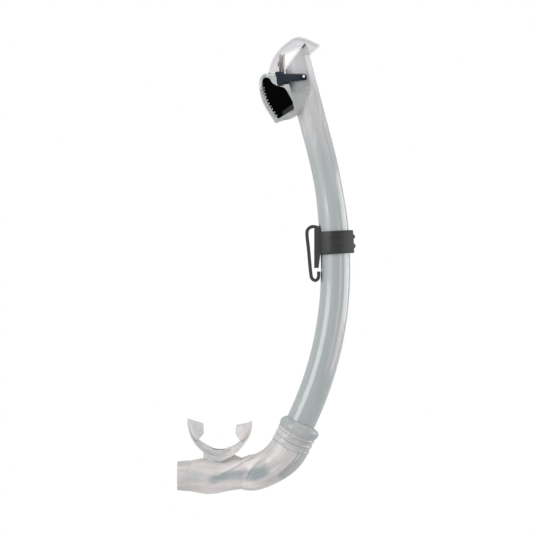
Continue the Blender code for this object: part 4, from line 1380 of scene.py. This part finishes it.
def make_neck():
    """Short oval neck, flared where it meets the body and the lip guard."""
    rings = []
    for k in range(17):
        f = k / 16
        z = -200.0 + 17.2 * f
        grow = 0.94 + 0.06 * (1 - f) ** 2 + 0.10 * f**5
        section = [(15.0 * grow * math.cos(a), 12.0 * grow * math.sin(a)) for a in ring_angles(96)]
        rings.append([(NECK_X + x, y, z) for x, y in section])
    obj = mesh_object("mouth_neck", *stack(rings))
    web = [(-82.0, -186.0), (-76.3, -187.4), (-71.2, -189.4), (-65.9, -191.6), (-63.0, -195.5),
           (-70.0, -199.0), (-82.0, -199.0)]
    fuse(obj, pillow("web", web, 6.5, 2.0, 5))
    fit = [(c, t, r + 0.3) for c, t, r, _ in purge_stations(60)]
    cut(obj, rod("fit", [c for c, _, _ in fit], [r for _, _, r in fit], 96, [t for _, t, _ in fit]))
    over = [Vector(MOUTH) + (FLANGE_R + 1.3) * unit(-170 + 160 * k / 60) for k in range(61)]
    cut(obj, plate("over", over, -40, 40))
    cut(obj, oval("socket", NECK_X, 11.4, 9.0, -215.0, -186.4))
    cut(obj, oval("throat", *THROAT, -215.0, -170.0))
    return obj


def reach_out(obj):
    """Lets the lip guard reach a little farther out at the left end and bulge a little at the right."""
    points = points_of(obj)
    points[:, 0] -= 1.7 * smooth((-99.0 - points[:, 0]) / 13.0)
    points[:, 0] += 1.0 * smooth((points[:, 0] + 68.0) / 8.0) * ridge(points[:, 2] + 168.0, 7.0)
    place_points(obj, points)


def make_mouthpiece():
    """Lip guard, neck and two bite tabs."""
    guard = flange()
    cut(guard, oval("throat", *THROAT, -215.0, -170.0))
    left = [(-115.0, -154.6), (-101.6, -159.3), (-101.3, -168.9), (-105.0, -173.2)]
    right = [(-55.4, -158.0), (-70.7, -160.8), (-71.3, -168.4), (-68.0, -174.0)]
    for side, shape in ((-1, left), (1, right)):
        for deg in range(46, 84, 6):
            p = Vector(MOUTH) + 28.7 * unit(-90 + side * deg)
            shape.append((p.x, p.y))
    pieces = [guard, make_neck()]
    for name, shape in (("tab_left", left), ("tab_right", right)):
        pieces.append(thicken(remesh(pillow(name, shape, 6.2, 0.7, 5), 0.45, 2)))
    paint = silicone_paint("mouth_silicone_skin", (0.650, 0.625, 0.610), (0.38, 0.42, 0.425), 0.0)
    for obj in pieces:
        reach_out(obj)
        shade(obj, 40)
        add_tone(obj, mouth_light_and_shade)
        add_flow(obj, flow_mouth)
        dress(obj, paint)
        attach(obj, "lower_end")
    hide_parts("mouthpiece")


# ------------------------------------------------------------------ nodes kept from CAD


# paint name, dark colour, light colour and roughness of each kept node
NODE_PAINTS = {
    "inlet_seat": ("seat_skin", (0.84, 0.84, 0.84), (0.90, 0.90, 0.90), 0.25),
    "hood_lock_key": ("key_skin", (0.010, 0.016, 0.026), (0.020, 0.028, 0.040), 0.4),
    "float_pivot_pin": ("steel_skin", (0.10, 0.075, 0.065), (0.16, 0.12, 0.11), 0.35),
    "lever_pin_front": ("pin_skin", (0.78, 0.78, 0.78), (0.86, 0.86, 0.86), 0.3),
    "swivel_collar": ("collar_skin", (0.46, 0.50, 0.50), (0.54, 0.57, 0.57), 0.3),
    "swivel_o_ring": ("o_ring_skin", (0.010, 0.010, 0.010), (0.018, 0.018, 0.018), 0.6),
    "chamber_connector": ("connector_skin", (0.50, 0.53, 0.53), (0.58, 0.60, 0.60), 0.3),
    "purge_seat": ("purge_seat_skin", (0.44, 0.47, 0.47), (0.52, 0.55, 0.55), 0.32),
    "purge_disc": ("purge_disc_skin", (0.52, 0.50, 0.47), (0.62, 0.60, 0.57), 0.45),
    "purge_cap": ("purge_cap_skin", (0.46, 0.49, 0.49), (0.54, 0.57, 0.57), 0.32),
}


def dress_nodes():
    """Paints of the small CAD pieces that are kept as they are."""
    paints = {node: moulded(*row) for node, row in NODE_PAINTS.items()}
    paints["lever_pin_back"] = paints["lever_pin_front"]
    paints["float_pivot_pin"].set(Metallic=1.0)
    for node, paint in paints.items():
        dress(NODES[node], paint)


# ------------------------------------------------------------------ stage


def make_floor():
    """Very large pale floor under the snorkel; it shows plain white to the camera."""
    mesh = bpy.data.meshes.new("floor")
    size = 40.0
    z = -0.30
    corners = [(-size, -size, z), (size, -size, z), (size, size, z), (-size, size, z)]
    mesh.from_pydata(corners, [], [(0, 1, 2, 3)])
    floor = link(bpy.data.objects.new("floor", mesh))
    p = Paint("floor_paint")
    p.set(Base_Color=(0.78, 0.78, 0.78), Roughness=0.9)
    glow = p.node("ShaderNodeEmission", Strength=1.0)
    path = p.node("ShaderNodeLightPath")
    p.blend(path.outputs["Is Camera Ray"], p.shader.outputs[0], glow.outputs[0])
    dress(floor, p)


def make_world():
    """Dim grey studio, plain white where the camera sees it directly."""
    world = bpy.data.worlds.new("studio")
    bpy.context.scene.world = world
    world.use_nodes = True
    tree = world.node_tree
    tree.nodes.clear()
    coords = tree.nodes.new("ShaderNodeTexCoord")
    split = tree.nodes.new("ShaderNodeSeparateXYZ")
    tree.links.new(coords.outputs["Generated"], split.inputs[0])
    ramp = tree.nodes.new("ShaderNodeValToRGB")
    stops = [(0.0, (0.62, 0.65, 0.66)), (0.3, (0.62, 0.65, 0.66)), (0.6, (0.70, 0.71, 0.72)),
             (1.0, (0.92, 0.92, 0.92))]
    while len(ramp.color_ramp.elements) < len(stops):
        ramp.color_ramp.elements.new(0.5)
    for element, (place, colour) in zip(ramp.color_ramp.elements, stops):
        element.position = place
        element.color = (*colour, 1)
    tree.links.new(split.outputs["Z"], ramp.inputs["Fac"])
    soft = tree.nodes.new("ShaderNodeBackground")
    tree.links.new(ramp.outputs["Color"], soft.inputs["Color"])
    plain = tree.nodes.new("ShaderNodeBackground")
    plain.inputs["Color"].default_value = (1, 1, 1, 1)
    path = tree.nodes.new("ShaderNodeLightPath")
    mix = tree.nodes.new("ShaderNodeMixShader")
    tree.links.new(path.outputs["Is Camera Ray"], mix.inputs[0])
    tree.links.new(soft.outputs[0], mix.inputs[1])
    tree.links.new(plain.outputs[0], mix.inputs[2])
    out = tree.nodes.new("ShaderNodeOutputWorld")
    tree.links.new(mix.outputs[0], out.inputs["Surface"])


def softbox(name, azimuth, low, high, spread, distance, radiance, colour):
    """Area lamp facing the snorkel; angles in degrees, azimuth from the front towards the right."""
    middle = Vector((-0.02, 0.0, -0.012))
    rise = 0.5 * (math.tan(math.radians(low)) + math.tan(math.radians(high))) * distance
    height = (math.tan(math.radians(high)) - math.tan(math.radians(low))) * distance
    width = 2 * distance * math.tan(math.radians(0.5 * spread))
    a = math.radians(azimuth)
    place = middle + Vector((math.sin(a) * distance, -math.cos(a) * distance, rise))
    lamp = bpy.data.lights.new(name, "AREA")
    lamp.shape = "RECTANGLE"
    lamp.size = width
    lamp.size_y = height
    lamp.energy = radiance * math.pi * width * height
    lamp.color = colour
    obj = link(bpy.data.objects.new(name, lamp))
    obj.location = place
    level = Vector((middle.x - place.x, middle.y - place.y, 0.0))
    obj.rotation_euler = level.to_track_quat("-Z", "Y").to_euler()


def make_stage():
    """Floor, world and four soft lamps."""
    make_floor()
    make_world()
    softbox("key_left", -49.0, 1.0, 34.0, 36.0, 1.6, 3.2, (1.0, 0.965, 0.985))
    softbox("fill_left", -50.0, -14.0, 0.0, 34.0, 1.6, 0.7, (1.0, 0.97, 0.99))
    softbox("rim_right", 100.0, -20.0, 15.0, 52.0, 1.6, 2.5, (1.0, 0.965, 0.985))
    softbox("kick_right", 43.0, -24.0, 6.0, 12.0, 1.6, 0.8, (1.0, 0.97, 0.99))


def make_camera():
    """Level view of the XZ plane; the frame is 0.501 m wide at the snorkel."""
    distance = 2.6
    wide = 0.501
    data = bpy.data.cameras.new("camera")
    data.sensor_width = 36.0
    data.lens = 36.0 * distance / wide
    data.clip_end = 100.0
    cam = link(bpy.data.objects.new("camera", data))
    cam.location = (-0.0423, -distance, -0.01175)
    cam.rotation_euler = (math.radians(90), 0, 0)
    bpy.context.scene.camera = cam


def main():
    make_camera()
    make_stage()
    make_tube()
    make_hood()
    make_chamber()
    make_float()
    make_arm()
    make_lever()
    make_seal()
    make_keeper()
    make_elbow()
    make_purge()
    make_mouthpiece()
    dress_nodes()
    bpy.context.scene.view_settings.view_transform = "Standard"


main()
